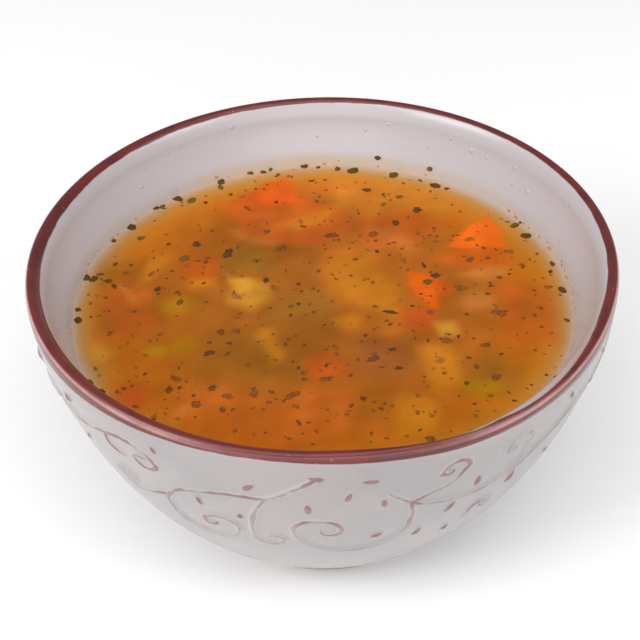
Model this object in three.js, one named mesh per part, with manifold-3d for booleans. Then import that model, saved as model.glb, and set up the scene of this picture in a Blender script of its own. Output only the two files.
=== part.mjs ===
// A bowl of minestrone: a thick stoneware bowl with a brown lip and a raised vine scroll
// round its outside, filled with cloudy broth on which crumbled dried herbs float.
// Units are millimetres, +Z is up, and the origin is the middle of the foot's underside.

import * as THREE from 'three';
import { mergeVertices } from 'three/addons/utils/BufferGeometryUtils.js';
import Module from 'manifold-3d';

const wasm = await Module();
wasm.setup();

// ---------------------------------------------------------------- driving sizes

const RIM_R = 75;             // outer radius at the lip
const BOWL_H = 77.5;          // height of the lip above the table
const LIP_ROUND = 2.05;       // radius of the rounded lip
const LIP_NECK = 1;           // height between the body's curve and the lip's middle
const BODY_R = 29.8;          // radius at which the body's curve would meet the table
const BODY_RISE = 1.48;       // how soon the body turns up: larger is rounder
const BODY_FLARE = 1.75;      // how fast the body spreads just above the foot
const WALL_TOP = 4.1;         // wall just under the lip
const WALL_LOW = 7;           // wall at and below the soup's level
const FLOOR_DISH = 0.6;       // how much lower the floor is at its middle
const ROW_CROWDING = 1.35;    // above 1, facet rows crowd towards the foot
const SLOPE_STEP = 0.05;      // rise over which the wall's slope is measured
const MERGE = 1e-4;           // corners closer than this are one

const FOOT_R = 39.4;          // outer radius of the foot
const FOOT_H = 3.2;           // height at which the foot passes into the body
const FOOT_EDGE = 0.6;        // bevel round the foot's lower edge
const FOOT_LAND = 4.5;        // width of the foot ring's flat underside
const FOOT_RECESS = 2;        // depth of the hollow inside the ring
const FOOT_SLOPE = 1.5;       // width of the slope from the ring into the hollow

const SOUP_Z = 59.5;          // level of the broth
const GAP = 0.3;              // clearance between broth and bowl

const TURNS = 54;             // facets round the bowl and the broth
const WALL_ROWS = 10;         // rows of facets up the wall
const LIP_ROWS = 4;           // rows of facets over the lip

const VINE_W = 1.5;           // width of a raised vine at its foot
const VINE_H = 0.6;           // height of a raised vine
const VINE_SINK = 0.5;        // how deep a vine is rooted in the wall
const VINE_END = 0.6;         // share of width and height left at a vine's end
const STEM_STEP = 6.5;        // facet length along a stem
const ARC_STEPS = 4;          // facets along a half turn of a curl
const MOTIFS = 3;             // copies of the scroll round the bowl
const MM_PER_DEG = 1.1;       // wall length of one degree at the scroll's height
const BUD_W = 2.2;            // width of a bud
const BUD_H = 0.85;           // height of a bud above the wall

const FLAKE_ABOVE = 0.35;     // how far a floating herb flake stands above the broth
const FLAKE_BELOW = 0.45;     // how deep it is rooted in the broth
const FLAKE_SIDES = 6;        // corners of a flake's torn outline
const FLAKE_ROUND = 0.5;      // how far a corner may wander, as a share of a side
const FLAKE_TORN = 0.72;      // least reach of a corner, as a share of the flake's half size
const FLAKE_FULL = 1.05;      // greatest reach of a corner
const FLAKE_ROLL = 5;         // greatest tilt about a flake's length, degrees
const FLAKE_PITCH = 3;        // greatest tilt about a flake's width, degrees
const SMALL_FLAKES = 92;      // flakes strewn by rule between the largest ones
const SMALL_MIN = 1.2;        // length of the smallest strewn flake
const SMALL_MAX = 2.6;        // length of the largest strewn flake
const SMALL_BIAS = 1.6;       // above 1, small flakes outnumber larger ones
const SLIM = 0.45;            // width of the slimmest strewn flake, as a share of its length
const STOUT = 0.9;            // width of the stoutest one
const FLAKE_CLEAR = 0.5;      // free broth between two flakes
const EDGE_CLEAR = 2.5;       // free broth between flakes and wall
const SEED = 20617;

// ---------------------------------------------------------------- small tools

const rad = THREE.MathUtils.degToRad;
const mix = THREE.MathUtils.lerp;

// A closed manifold solid from a geometry whose shared corners are still split.
function solid(geometry) {
  geometry.deleteAttribute('normal');
  geometry.deleteAttribute('uv');
  const merged = mergeVertices(geometry, MERGE);
  const index = merged.index.array;
  const kept = [];
  for (let i = 0; i < index.length; i += 3) {
    const [a, b, c] = [index[i], index[i + 1], index[i + 2]];
    if (a !== b && b !== c && c !== a) kept.push(a, b, c);
  }
  return new wasm.Manifold(new wasm.Mesh({
    numProp: 3,
    vertProperties: new Float32Array(merged.attributes.position.array),
    triVerts: new Uint32Array(kept),
  }));
}

// A named mesh from a manifold solid.
function meshOf(body, name, look) {
  const { vertProperties, triVerts } = body.getMesh();
  const geometry = new THREE.BufferGeometry();
  geometry.setAttribute('position', new THREE.BufferAttribute(vertProperties, 3));
  geometry.setIndex(new THREE.BufferAttribute(triVerts, 1));
  geometry.computeVertexNormals();
  const mesh = new THREE.Mesh(geometry, new THREE.MeshStandardMaterial(look));
  mesh.name = name;
  return mesh;
}

// A solid of revolution about Z from [radius, height] pairs, underside first.
function turned(profile) {
  const points = profile.map(([r, z]) => new THREE.Vector2(r, z));
  return solid(new THREE.LatheGeometry(points, TURNS).rotateX(Math.PI / 2));
}

// Whole-number random draws, so that the same seed gives the same flakes anywhere.
function drawer(seed) {
  let state = seed;
  return () => {
    state = (state * 48271) % 2147483647;
    return state / 2147483647;
  };
}

// ---------------------------------------------------------------- bowl

const WALL_Z = BOWL_H - LIP_ROUND - LIP_NECK;      // height at which the body's curve ends

// Outer radius of the body at a height.
function outerR(z) {
  const t = THREE.MathUtils.clamp(z / WALL_Z, 0, 1);
  return BODY_R + (RIM_R - BODY_R) * (1 - (1 - t) ** BODY_RISE) ** (1 / BODY_FLARE);
}

// Unit vector [radius, height] that points out of the wall at a height.
function outward(z) {
  const dz = 2 * SLOPE_STEP;
  const dr = outerR(z + SLOPE_STEP) - outerR(z - SLOPE_STEP);
  const n = Math.hypot(dr, dz);
  return [dz / n, -dr / n];
}

// Heights of the wall's facet rows, closer together low down where it curves most.
const wallHeights = Array.from({ length: WALL_ROWS + 1 },
  (_, i) => mix(FOOT_H, WALL_Z, (i / WALL_ROWS) ** ROW_CROWDING));

// Points of the wall's inner side, a distance further in where asked.
function innerProfile(further) {
  return wallHeights.slice(0, -1).map((z) => {
    const wall = mix(WALL_TOP, WALL_LOW, THREE.MathUtils.smoothstep(WALL_Z - z, 0, WALL_Z - SOUP_Z));
    const [nr, nz] = outward(z);
    return [outerR(z) - nr * (wall + further), z - nz * (wall + further)];
  });
}

function bowlBody() {
  const landR = FOOT_R - FOOT_EDGE;
  const innerFoot = landR - FOOT_LAND;
  const underside = [[0, FOOT_RECESS], [innerFoot - FOOT_SLOPE, FOOT_RECESS], [innerFoot, 0],
    [landR, 0], [FOOT_R, FOOT_EDGE]];
  const outside = wallHeights.map((z) => [outerR(z), z]);
  const lipMiddle = [RIM_R - LIP_ROUND, BOWL_H - LIP_ROUND];
  const lip = Array.from({ length: LIP_ROWS + 1 }, (_, i) => {
    const a = (Math.PI * i) / LIP_ROWS;
    return [lipMiddle[0] + LIP_ROUND * Math.cos(a), lipMiddle[1] + LIP_ROUND * Math.sin(a)];
  });
  const inside = innerProfile(0).reverse();
  const floor = inside.at(-1)[1] - FLOOR_DISH;
  return turned([...underside, ...outside, ...lip, ...inside, [0, floor]]);
}

// ---------------------------------------------------------------- raised vine scroll

// The scroll is drawn on the unrolled wall as seen from outside: [degrees to the right of
// the front, height]. A vine runs through its stem's points and then may wind into a curl.
// A curl is a chain of half turns: widths are their spans in mm, side is where the first
// one goes (1 to the right, -1 to the left), over tells whether it passes above or below.
const VINES = [
  // top bud, down to the left, and the wide left curl
  { stem: [[-2, 70.4], [-6.7, 65.9], [-11.3, 62.1], [-19.3, 61.1], [-28.4, 57.1], [-32.3, 51],
    [-32.5, 45.4]],
    curl: { side: 1, over: -1, widths: [15.9, 8, 2.8] } },
  // narrow hook beside it
  { stem: [[-11.3, 61.8], [-13.4, 56.7], [-14.9, 49.2], [-15.2, 42.4]],
    curl: { side: 1, over: -1, widths: [6.6, 3.1] } },
  // great curl in the middle
  { stem: [[15, 56.9], [15.7, 52.6], [15.6, 48]],
    curl: { side: -1, over: -1, widths: [24.8, 10.2, 4.5] } },
  // short shoot above the great curl
  { stem: [[15, 56.9], [13, 59.7], [10.4, 63]] },
  // upper right curl
  { stem: [[15, 56.9], [18.4, 59.4], [22.5, 61.4], [25.6, 66.2]],
    curl: { side: -1, over: 1, widths: [5.7, 2.3] } },
  // long right stem and its curl
  { stem: [[15, 56.9], [19, 54.6], [24.4, 52.9], [30.1, 52.3], [35.6, 54.2], [39, 59], [39.9, 64.2]],
    curl: { side: -1, over: 1, widths: [6.5, 2.6] } },
  // stem that runs on to the next copy
  { stem: [[33.4, 53.3], [39.1, 54.4], [45.5, 58.4], [53, 62], [60, 62.6]] },
  // upper left stem and its curl
  { stem: [[-60, 62.6], [-52, 63.2], [-45.8, 65.9], [-39.5, 68.5], [-34.4, 67.6], [-32.2, 63.8]],
    curl: { side: -1, over: -1, widths: [5.3, 2.6] } },
  // shoot under it
  { stem: [[-43.9, 66.6], [-43.4, 62.9], [-39.6, 61.2]] },
  // lower left stem with a hook at its end
  { stem: [[-32.3, 52.3], [-35.1, 50.2], [-39, 47.6], [-42.4, 46.7], [-45.2, 51.4]],
    curl: { side: 1, over: 1, widths: [5.4, 2.4] } },
  // loose hook low on the right
  { stem: [[29.4, 37], [29.9, 41.8]], curl: { side: 1, over: 1, widths: [5.8, 2.6] } },
];

// Buds: [degrees, height, length, lean from upright in degrees].
const BUDS = [
  [-24.8, 54.8, 4.4, 6], [-17, 51.8, 2.4, 0], [-14, 65.7, 3.6, -38], [-31.7, 70, 2.6, 20],
  [-3.8, 58.6, 4.6, 3], [3.5, 63.2, 4.8, -12], [7.2, 68.4, 3.8, 80], [9.9, 58.9, 4.4, 4],
  [9.3, 43.1, 3.6, -60], [18.3, 40.1, 4.6, -18], [23.9, 48.7, 4.8, -28], [28.7, 57, 4.4, 0],
  [38.5, 49.2, 5, -14], [-2, 70.4, 3, 70], [25.4, 36.4, 3, -25], [20.4, 66, 2.8, 0],
  [51, 67.8, 4, 30], [50, 48, 4.4, 40], [-53, 56, 4, -30], [-55, 68, 3, 60],
];

// The point of the wall's outside at an angle from the front and a height, and its normal.
function onWall(degrees, z) {
  const r = outerR(z);
  const [nr, nz] = outward(z);
  const [x, y] = [Math.sin(rad(degrees)), -Math.cos(rad(degrees))];
  return {
    point: new THREE.Vector3(r * x, r * y, z),
    normal: new THREE.Vector3(nr * x, nr * y, nz),
  };
}

// Points of a curl's half turns, each starting where the last one ended.
function curlPoints([a, h], { side, over, widths }) {
  const points = [];
  let left = a;
  let [toward, bulge] = [side, over];
  for (const width of widths) {
    const reach = width / 2 / MM_PER_DEG;
    for (let i = 1; i <= ARC_STEPS; i++) {
      const t = (Math.PI * i) / ARC_STEPS;
      points.push([left + toward * reach * (1 - Math.cos(t)), h + (bulge * width * Math.sin(t)) / 2]);
    }
    left += 2 * toward * reach;
    toward = -toward;
    bulge = -bulge;
  }
  return points;
}

// All points of one vine, its stem smoothed through the given ones.
function vinePoints({ stem, curl }) {
  const drawn = new THREE.CatmullRomCurve3(
    stem.map(([a, h]) => new THREE.Vector3(a * MM_PER_DEG, h, 0)));
  const steps = Math.max(2, Math.round(drawn.getLength() / STEM_STEP));
  const points = drawn.getSpacedPoints(steps).map((p) => [p.x / MM_PER_DEG, p.y]);
  return curl ? points.concat(curlPoints(stem.at(-1), curl)) : points;
}

// A ridge of triangular section that lies along the wall and tapers at its ends.
function ridge(points, turn) {
  const corners = [];
  const last = points.length - 1;
  points.forEach(([a, h], i) => {
    const { point, normal } = onWall(a + turn, h);
    const [beforeA, beforeH] = points[Math.max(i - 1, 0)];
    const [afterA, afterH] = points[Math.min(i + 1, last)];
    const along = onWall(afterA + turn, afterH).point;
    along.sub(onWall(beforeA + turn, beforeH).point).normalize();
    const across = new THREE.Vector3().crossVectors(normal, along).normalize();
    const full = i === 0 || i === last ? VINE_END : 1;
    const half = (VINE_W / 2) * full * (1 + VINE_SINK / VINE_H);
    corners.push(
      point.clone().addScaledVector(across, -half).addScaledVector(normal, -VINE_SINK),
      point.clone().addScaledVector(across, half).addScaledVector(normal, -VINE_SINK),
      point.clone().addScaledVector(normal, VINE_H * full));
  });
  const faces = [0, 2, 1];
  for (let i = 0; i < last; i++) {
    for (const [p, q] of [[0, 1], [1, 2], [2, 0]]) {
      const [a, b, c, d] = [3 * i + p, 3 * i + q, 3 * i + 3 + p, 3 * i + 3 + q];
      faces.push(a, b, c, b, d, c);
    }
  }
  faces.push(3 * last, 3 * last + 1, 3 * last + 2);
  const geometry = new THREE.BufferGeometry().setFromPoints(corners);
  geometry.setIndex(faces);
  return solid(geometry);
}

// A bud: a low ellipsoid with its long axis on the wall, leaning from upright.
function bud([a, h, length, lean], turn) {
  const { point, normal } = onWall(a + turn, h);
  const up = new THREE.Vector3(0, 0, 1).addScaledVector(normal, -normal.z).normalize();
  up.applyAxisAngle(normal, rad(lean));
  const across = new THREE.Vector3().crossVectors(up, normal);
  const place = new THREE.Matrix4().makeBasis(across, up, normal).setPosition(point);
  const shape = new THREE.OctahedronGeometry(1, 0).scale(BUD_W / 2, length / 2, BUD_H);
  return solid(shape.applyMatrix4(place));
}

function bowl() {
  let body = bowlBody();
  for (let copy = 0; copy < MOTIFS; copy++) {
    const turn = (360 / MOTIFS) * copy;
    for (const vine of VINES) body = body.add(ridge(vinePoints(vine), turn));
    for (const place of BUDS) body = body.add(bud(place, turn));
  }
  return meshOf(body, 'bowl', { color: 0xc9c2c6, roughness: 0.25, metalness: 0 });
}

// ---------------------------------------------------------------- broth and herb flakes

// The flakes that stand out most: [x, y, length, width, turn in degrees].
const LARGE_FLAKES = [
  [-25.5, 23.5, 5, 2.6, 75], [-37.5, 21.5, 3.6, 2.4, 45], [3.2, 30.1, 4.6, 2.2, 5],
  [14.5, 30, 3, 2.3, 20], [27.6, 41, 3.7, 2.6, 60], [-11, 24.6, 4.2, 2.6, 30],
  [21.1, 35, 2.7, 2.1, 120], [-15, 32.7, 2.6, 1.9, 40], [41.2, 26.5, 2.8, 2, 10],
  [40.2, 17.2, 2.8, 2.1, 60], [51, 20.2, 2.5, 1.8, 0], [36.4, 5.1, 3.6, 2.5, 130],
  [28, 8, 3, 2.5, 20], [45.2, -5.6, 4.4, 2.6, 150], [17.6, -4.2, 4.2, 1.4, 170],
  [31.1, -16.4, 3.8, 2, 160], [40.7, -18.5, 3.2, 1.6, 10], [42, -30.7, 2.8, 2.2, 40],
  [12.4, -22.6, 3.6, 2.3, 30], [-8.2, -35.1, 4.5, 2.2, 35], [0.4, -29.6, 3.2, 1.8, 15],
  [-17.4, -34.2, 2.9, 2.2, 70], [-24, -34.7, 2.9, 2.1, 150], [-31.5, -37.4, 2.9, 2.4, 0],
  [-29, -18.4, 2.9, 1.9, 20], [-43.9, 8.2, 2.6, 1.9, 40], [-22.7, 4, 3.2, 1.6, 155],
  [-13, 7.4, 2.9, 1.8, 140], [-36.8, -27.8, 3.2, 1.8, 140], [24.5, -51.7, 2.6, 2, 160],
];

// Every flake as [x, y, length, width, turn], the strewn ones clear of those before them.
function flakePlaces(draw, soupR) {
  const places = LARGE_FLAKES.map((place) => [...place]);
  while (places.length < LARGE_FLAKES.length + SMALL_FLAKES) {
    const reach = (soupR - EDGE_CLEAR) * Math.sqrt(draw());
    const where = 2 * Math.PI * draw();
    const length = mix(SMALL_MIN, SMALL_MAX, draw() ** SMALL_BIAS);
    const width = length * mix(SLIM, STOUT, draw());
    const turn = 180 * draw();
    const [x, y] = [reach * Math.cos(where), reach * Math.sin(where)];
    const free = places.every(([px, py, other]) =>
      Math.hypot(px - x, py - y) > (other + length) / 2 + FLAKE_CLEAR);
    if (free) places.push([x, y, length, width, turn]);
  }
  return places;
}

// One flake: a torn, slightly tilted platelet that is rooted in the broth.
function flake([x, y, length, width, turn], draw) {
  const corners = Array.from({ length: FLAKE_SIDES }, (_, i) => {
    const a = (2 * Math.PI * (i + FLAKE_ROUND * (draw() - 0.5))) / FLAKE_SIDES;
    const torn = mix(FLAKE_TORN, FLAKE_FULL, draw());
    return new THREE.Vector2((length / 2) * torn * Math.cos(a), (width / 2) * torn * Math.sin(a));
  });
  const plate = new THREE.ExtrudeGeometry(new THREE.Shape(corners),
    { depth: FLAKE_ABOVE + FLAKE_BELOW, bevelEnabled: false });
  plate.translate(0, 0, -FLAKE_BELOW);
  plate.rotateX(rad(mix(-FLAKE_ROLL, FLAKE_ROLL, draw())));
  plate.rotateY(rad(mix(-FLAKE_PITCH, FLAKE_PITCH, draw())));
  plate.rotateZ(rad(turn));
  plate.translate(x, y, SOUP_Z);
  return solid(plate);
}

function broth() {
  const inside = innerProfile(GAP);
  const side = inside.filter(([, z]) => z < SOUP_Z);
  const [below, above] = [side.at(-1), inside[side.length]];
  const soupR = mix(below[0], above[0], (SOUP_Z - below[1]) / (above[1] - below[1]));
  const floor = side[0][1] - FLOOR_DISH;
  let body = turned([[0, floor], ...side, [soupR, SOUP_Z], [0, SOUP_Z]]);
  const draw = drawer(SEED);
  const places = flakePlaces(draw, soupR);
  for (const place of places) body = body.add(flake(place, draw));
  return meshOf(body, 'broth', { color: 0xb5651d, roughness: 0.2, metalness: 0 });
}

// ---------------------------------------------------------------- the whole

const minestrone = new THREE.Group();
minestrone.name = 'bowl_of_minestrone';
minestrone.add(bowl(), broth());

export default minestrone;
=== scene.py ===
"""A bowl of minestrone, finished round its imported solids.

A stoneware bowl with a brown lip and a raised vine scroll, cloudy broth with vegetables
sunk in it, dried herbs afloat, crumbs and oil along the edge and droplets on the wall.
"""

import math

import bpy
import numpy as np
from bpy.props import FloatProperty, FloatVectorProperty, IntProperty, PointerProperty
from mathutils import Matrix, Vector


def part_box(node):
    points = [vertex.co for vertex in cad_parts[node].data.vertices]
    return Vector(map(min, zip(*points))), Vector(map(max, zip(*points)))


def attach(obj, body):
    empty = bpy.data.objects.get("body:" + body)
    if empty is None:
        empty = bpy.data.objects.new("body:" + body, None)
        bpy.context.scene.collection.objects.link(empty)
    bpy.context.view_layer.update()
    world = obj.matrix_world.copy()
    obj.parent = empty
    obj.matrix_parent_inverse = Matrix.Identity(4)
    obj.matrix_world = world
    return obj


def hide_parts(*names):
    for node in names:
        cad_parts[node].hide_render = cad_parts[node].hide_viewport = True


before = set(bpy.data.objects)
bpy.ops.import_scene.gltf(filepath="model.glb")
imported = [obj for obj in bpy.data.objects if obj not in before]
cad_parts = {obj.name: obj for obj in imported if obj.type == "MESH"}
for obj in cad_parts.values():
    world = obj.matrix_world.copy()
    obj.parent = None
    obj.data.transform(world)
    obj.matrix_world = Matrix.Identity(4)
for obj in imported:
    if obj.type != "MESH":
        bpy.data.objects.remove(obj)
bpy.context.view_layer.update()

bl_info = {
    "name": "Bowl of minestrone",
    "version": (1, 0, 0),
    "blender": (4, 5, 0),
    "location": "View3D > Sidebar > Minestrone",
    "description": "Builds a stoneware bowl of minestrone, its glaze, broth and herbs",
    "category": "Object",
}

MM = 0.001
BODY = "root"


def srgb(red, green, blue):
    """A linear colour from the usual 0 to 255 values."""
    return tuple(float(c) for c in linear(np.array([red, green, blue]) / 255))


def linear(shown):
    """Linear light from shown values between 0 and 1."""
    shown = np.asarray(shown, float)
    return np.where(shown <= 0.04045, shown / 12.92, ((shown + 0.055) / 1.055) ** 2.4)


# ---------------------------------------------------------------- settings


def length(name, text, millimetres):
    return FloatProperty(name=name, description=text, default=millimetres * MM,
                         unit="LENGTH", precision=5)


def share(name, text, default):
    return FloatProperty(name=name, description=text, default=default, min=0, max=1,
                         subtype="FACTOR")


def number(name, text, default):
    return FloatProperty(name=name, description=text, default=default)


def angle(name, text, degrees):
    return FloatProperty(name=name, description=text, default=math.radians(degrees),
                         unit="ROTATION", subtype="ANGLE")


def count(name, text, default):
    return IntProperty(name=name, description=text, default=default, min=0)


def colour(name, text, red, green, blue):
    return FloatVectorProperty(name=name, description=text, default=srgb(red, green, blue),
                               size=3, min=0, max=1, subtype="COLOR")


class BowlSettings(bpy.types.PropertyGroup):
    """Sizes of the bowl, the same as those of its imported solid."""

    rim_radius: length("Rim radius", "Outer radius at the lip", 75)
    height: length("Height", "Height of the lip above the table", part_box("bowl")[1].z / MM)
    lip_round: length("Lip radius", "Radius of the rounded lip", 2.05)
    lip_neck: length("Lip neck", "Height between the body's curve and the lip's middle", 1)
    lip_peak: length("Lip peak", "How far in from the rim the lip is highest", 1.45)
    lip_slope: length("Lip slope", "How far down the lip's inner side slopes", 4.3)
    lip_lean: number("Lip lean", "Slope of that side where it meets the wall", 0.36)
    lip_swell: length("Lip swell", "How much thicker the wall is at the foot of that side", 0.5)
    body_radius: length("Body radius", "Where the body's curve would meet the table", 29.8)
    body_rise: number("Body rise", "How soon the body turns up: larger is rounder", 1.48)
    body_flare: number("Body flare", "How fast the body spreads above the foot", 1.75)
    wall_top: length("Wall at the lip", "Wall thickness just under the lip", 4.1)
    wall_low: length("Wall below", "Wall thickness at and below the broth's level", 7)
    floor_dish: length("Floor dish", "How much lower the floor is at its middle", 0.6)
    foot_radius: length("Foot radius", "Outer radius of the foot", 39.4)
    foot_height: length("Foot height", "Where the foot passes into the body", 3.2)
    foot_edge: length("Foot edge", "Rounding of the foot's lower edges", 0.6)
    foot_land: length("Foot land", "Width of the foot ring's flat underside", 4.5)
    foot_recess: length("Foot recess", "Depth of the hollow inside the foot ring", 2)
    foot_slope: length("Foot slope", "Width of the slope into that hollow", 1.5)
    turns: count("Turns", "Facets round the bowl", 300)
    band_drop: length("Band drop", "How far down the outside the brown band reaches", 3.55)
    band_tilt: length("Band tilt", "How much further down it reaches at the right", 0.85)
    band_wave: length("Band wave", "How far its lower edge rises and falls", 1.7)
    band_inner: length("Band inside", "How far in from the rim it ends", 3.28)
    sag_place: angle("Sag place", "Where the lip sags, to the right of the front", 36)
    sag_reach: angle("Sag reach", "How far the sag reaches to either side", 36)
    sag_from: length("Sag from", "How far below the lip the sag begins", 6.5)
    sag_drop: length("Sag drop", "How much lower the lip is there", 1.2)
    sag_lean: length("Sag lean", "How much further out it leans there", 0.7)
    sag_thin: length("Sag thinning", "How much thinner its inner side is there", 1.5)


class ScrollSettings(bpy.types.PropertyGroup):
    """Sizes of the raised vine scroll."""

    vine_width: length("Vine width", "Width of a vine from flank to flank", 3.1)
    vine_height: length("Vine height", "Height of a vine above the wall", 0.52)
    vine_root: length("Vine root", "How deep a vine is rooted in the wall", 0.5)
    vine_sink: length("Vine sink", "How far its flanks run out below the glaze", 0.012)
    vine_end: share("Vine end", "Share of its size left at a vine's end", 0.12)
    vine_round: length("Vine rounding", "How far from its end a vine has its full size", 1.8)
    step: length("Step", "Length of a facet along a vine", 0.6)
    mm_per_degree: number("Wall per degree", "Length of one degree of wall, in mm", 1.1)
    bud_width: length("Bud width", "Width of a bud with its soft flanks", 2.7)
    bud_spread: number("Bud spread", "Its length with its soft flanks to that without", 1.3)
    bud_height: length("Bud height", "Height of a bud above the wall", 0.6)
    bud_taper: share("Bud taper", "How much narrower a bud's tip is", 0.45)
    copies: count("Copies", "Copies of the scroll round the bowl", 3)


class BrothSettings(bpy.types.PropertyGroup):
    """Sizes of the broth."""

    level: length("Level", "Level of the broth", 59.5)
    overlap: length("Overlap", "How far the broth reaches into the wall", 0.4)
    climb: length("Climb", "How high the broth climbs at the wall", 0.15)
    climb_width: length("Climb width", "How far from the wall it still climbs", 0.9)
    ring: length("Ring", "Distance between the surface's rings", 0.5)
    turns: count("Turns", "Facets round the broth", 448)
    dried: length("Dried broth", "How far above the level broth has dried on the wall", 4.6)
    tide: length("Tide", "How much the upper edge of the dried broth wanders", 5)
    cloud: length("Cloudiness", "Depth at which a sunk piece has lost most colour", 6.5)
    blur: share("Blur", "How much a sunk piece's outline softens for each mm of depth", 0.7)


class HerbSettings(bpy.types.PropertyGroup):
    """Sizes and numbers of the dried herbs."""

    above: length("Above", "How far a flake stands above the broth", 0.3)
    below: length("Below", "How deep a flake is rooted in the broth", 0.45)
    strewn: count("Strewn", "Flakes strewn between the largest ones", 92)
    seed: count("Seed", "Seed of the flakes' places and outlines", 20617)
    specks: count("Specks", "Crumbs of herb finer than the flakes", 460)
    oil_dots: count("Oil dots", "Droplets of orange oil along the edge", 90)


class ColourSettings(bpy.types.PropertyGroup):
    """Colours of the glaze, the broth and the herbs."""

    # Painted shade and light: one glaze, drawn darker outside and lighter and cooler inside.
    glaze: colour("Glaze", "Off-white glaze outside", 159, 152, 151)
    glaze_cool: colour("Cool glaze", "Cooler patches of the glaze outside", 151, 146, 147)
    lining: colour("Lining", "Off-white glaze inside", 183, 178, 181)
    # Painted highlight: a paler tint drawn on both flanks of the relief.
    painted_flank_highlight: colour("Halo", "Thick pale glaze beside the relief", 178, 174, 173)
    band: colour("Band", "Brown band round the lip", 102, 32, 31)
    band_deep: colour("Deep band", "Darker places of the band", 84, 22, 22)
    # Painted highlight: a paler pink drawn along the brown band where it crosses the lip's flank.
    painted_lip_highlight: colour("Thin band", "Band where it is thinnest, on the lip's flank", 186, 146, 142)
    smudge: colour("Smudge", "Pink bleeding under the band", 172, 146, 148)
    crest: colour("Crest", "Brown showing on the relief", 132, 94, 94)
    clay: colour("Clay", "Bare clay under the foot", 132, 118, 110)
    stain: colour("Stain", "Dried broth on the wall", 190, 170, 142)
    herb_dark: colour("Dark herb", "Flakes that lie on top", 86, 55, 28)
    herb_green: colour("Green herb", "Olive flakes and crumbs", 110, 88, 24)
    oil: colour("Oil", "Droplets of orange oil", 205, 125, 40)
    floor: colour("Floor", "The floor's colour", 250, 250, 250)


class StageSettings(bpy.types.PropertyGroup):
    """Camera and light."""

    aim_x: length("Aim X", "Sideways place the camera looks at", -0.82)
    aim_z: length("Aim Z", "Height the camera looks at", 54.09)
    distance: length("Distance", "From the camera to what it looks at", 397.9)
    elevation: angle("Elevation", "How steeply the camera looks down", 39.55)
    roll: angle("Roll", "How much higher the picture's right side is", 1.68)
    view: angle("View", "Width of the camera's view", 24)
    world: number("World", "Strength of the light from all round", 0.38)
    floor_size: length("Floor size", "Width of the floor", 6000)


class MinestroneSettings(bpy.types.PropertyGroup):
    """All settings of the bowl of minestrone."""

    bowl: PointerProperty(type=BowlSettings)
    scroll: PointerProperty(type=ScrollSettings)
    broth: PointerProperty(type=BrothSettings)
    herbs: PointerProperty(type=HerbSettings)
    colours: PointerProperty(type=ColourSettings)
    stage: PointerProperty(type=StageSettings)


# ---------------------------------------------------------------- node trees


class Number:
    """A node's socket that carries a number, for use in Python expressions."""

    def __init__(self, net, socket):
        self.net = net
        self.socket = socket

    def __add__(self, other):
        return self.net.math("ADD", self, other)

    def __radd__(self, other):
        return self.net.math("ADD", other, self)

    def __sub__(self, other):
        return self.net.math("SUBTRACT", self, other)

    def __rsub__(self, other):
        return self.net.math("SUBTRACT", other, self)

    def __mul__(self, other):
        return self.net.math("MULTIPLY", self, other)

    def __rmul__(self, other):
        return self.net.math("MULTIPLY", other, self)

    def __truediv__(self, other):
        return self.net.math("DIVIDE", self, other)

    def __pow__(self, other):
        return self.net.math("POWER", self, other)

    def least(self, other):
        return self.net.math("MINIMUM", self, other)

    def most(self, other):
        return self.net.math("MAXIMUM", self, other)

    def step(self, low, high):
        """Rises smoothly from 0 at low to 1 at high."""
        return self.net.number("ShaderNodeMapRange", {"interpolation_type": "SMOOTHSTEP"},
                               {"Value": self, "From Min": low, "From Max": high}, "Result")


class Net:
    """The nodes of one tree."""

    def __init__(self, tree):
        self.tree = tree
        tree.nodes.clear()

    def add(self, kind, settings=None, sockets=None):
        """A node of a kind, its settings made first, then its sockets' values or links."""
        node = self.tree.nodes.new(kind)
        for name, value in (settings or {}).items():
            if name == "stops":
                self.set_stops(node.color_ramp, value)
            else:
                setattr(node, name, value)
        for key, value in (sockets or {}).items():
            self.feed(self.find(node.inputs, key), value)
        return node

    def number(self, kind, settings, sockets, output):
        return Number(self, self.find(self.add(kind, settings, sockets).outputs, output))

    def math(self, operation, *values):
        node = self.tree.nodes.new("ShaderNodeMath")
        node.operation = operation
        for socket, value in zip(node.inputs, values):
            self.feed(socket, value)
        return Number(self, node.outputs[0])

    def find(self, sockets, key):
        if isinstance(key, int):
            return sockets[key]
        by_identifier = [s for s in sockets if s.identifier == key]
        return (by_identifier or [s for s in sockets if s.name == key and s.enabled])[0]

    def feed(self, socket, value):
        if isinstance(value, Number):
            value = value.socket
        if isinstance(value, bpy.types.NodeSocket):
            self.tree.links.new(value, socket)
        else:
            socket.default_value = value

    @staticmethod
    def set_stops(ramp, stops):
        while len(ramp.elements) < len(stops):
            ramp.elements.new(1)
        for element, (place, tint) in zip(ramp.elements, stops):
            element.position = place
            element.color = (*tint, 1)

    def split(self, vector):
        """The three parts of a vector."""
        node = self.add("ShaderNodeSeparateXYZ", {}, {"Vector": vector})
        return [Number(self, out) for out in node.outputs]

    def join(self, x, y, z):
        return self.add("ShaderNodeCombineXYZ", {}, {"X": x, "Y": y, "Z": z}).outputs[0]

    def noise(self, place, scale, detail=2, distortion=0):
        return self.number("ShaderNodeTexNoise", {}, {
            "Vector": place, "Scale": scale, "Detail": detail, "Distortion": distortion}, 0)

    def blend(self, factor, first, second, way="MIX"):
        """Colour first, passing into colour second as factor goes from 0 to 1."""
        node = self.add("ShaderNodeMix", {"data_type": "RGBA", "blend_type": way}, {
            "Factor_Float": factor, "A_Color": opaque(first), "B_Color": opaque(second)})
        return self.find(node.outputs, "Result_Color")


def opaque(tint):
    """A plain colour with its alpha, or a socket as it is."""
    return tint if isinstance(tint, (bpy.types.NodeSocket, Number)) else (*tint, 1)


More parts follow.
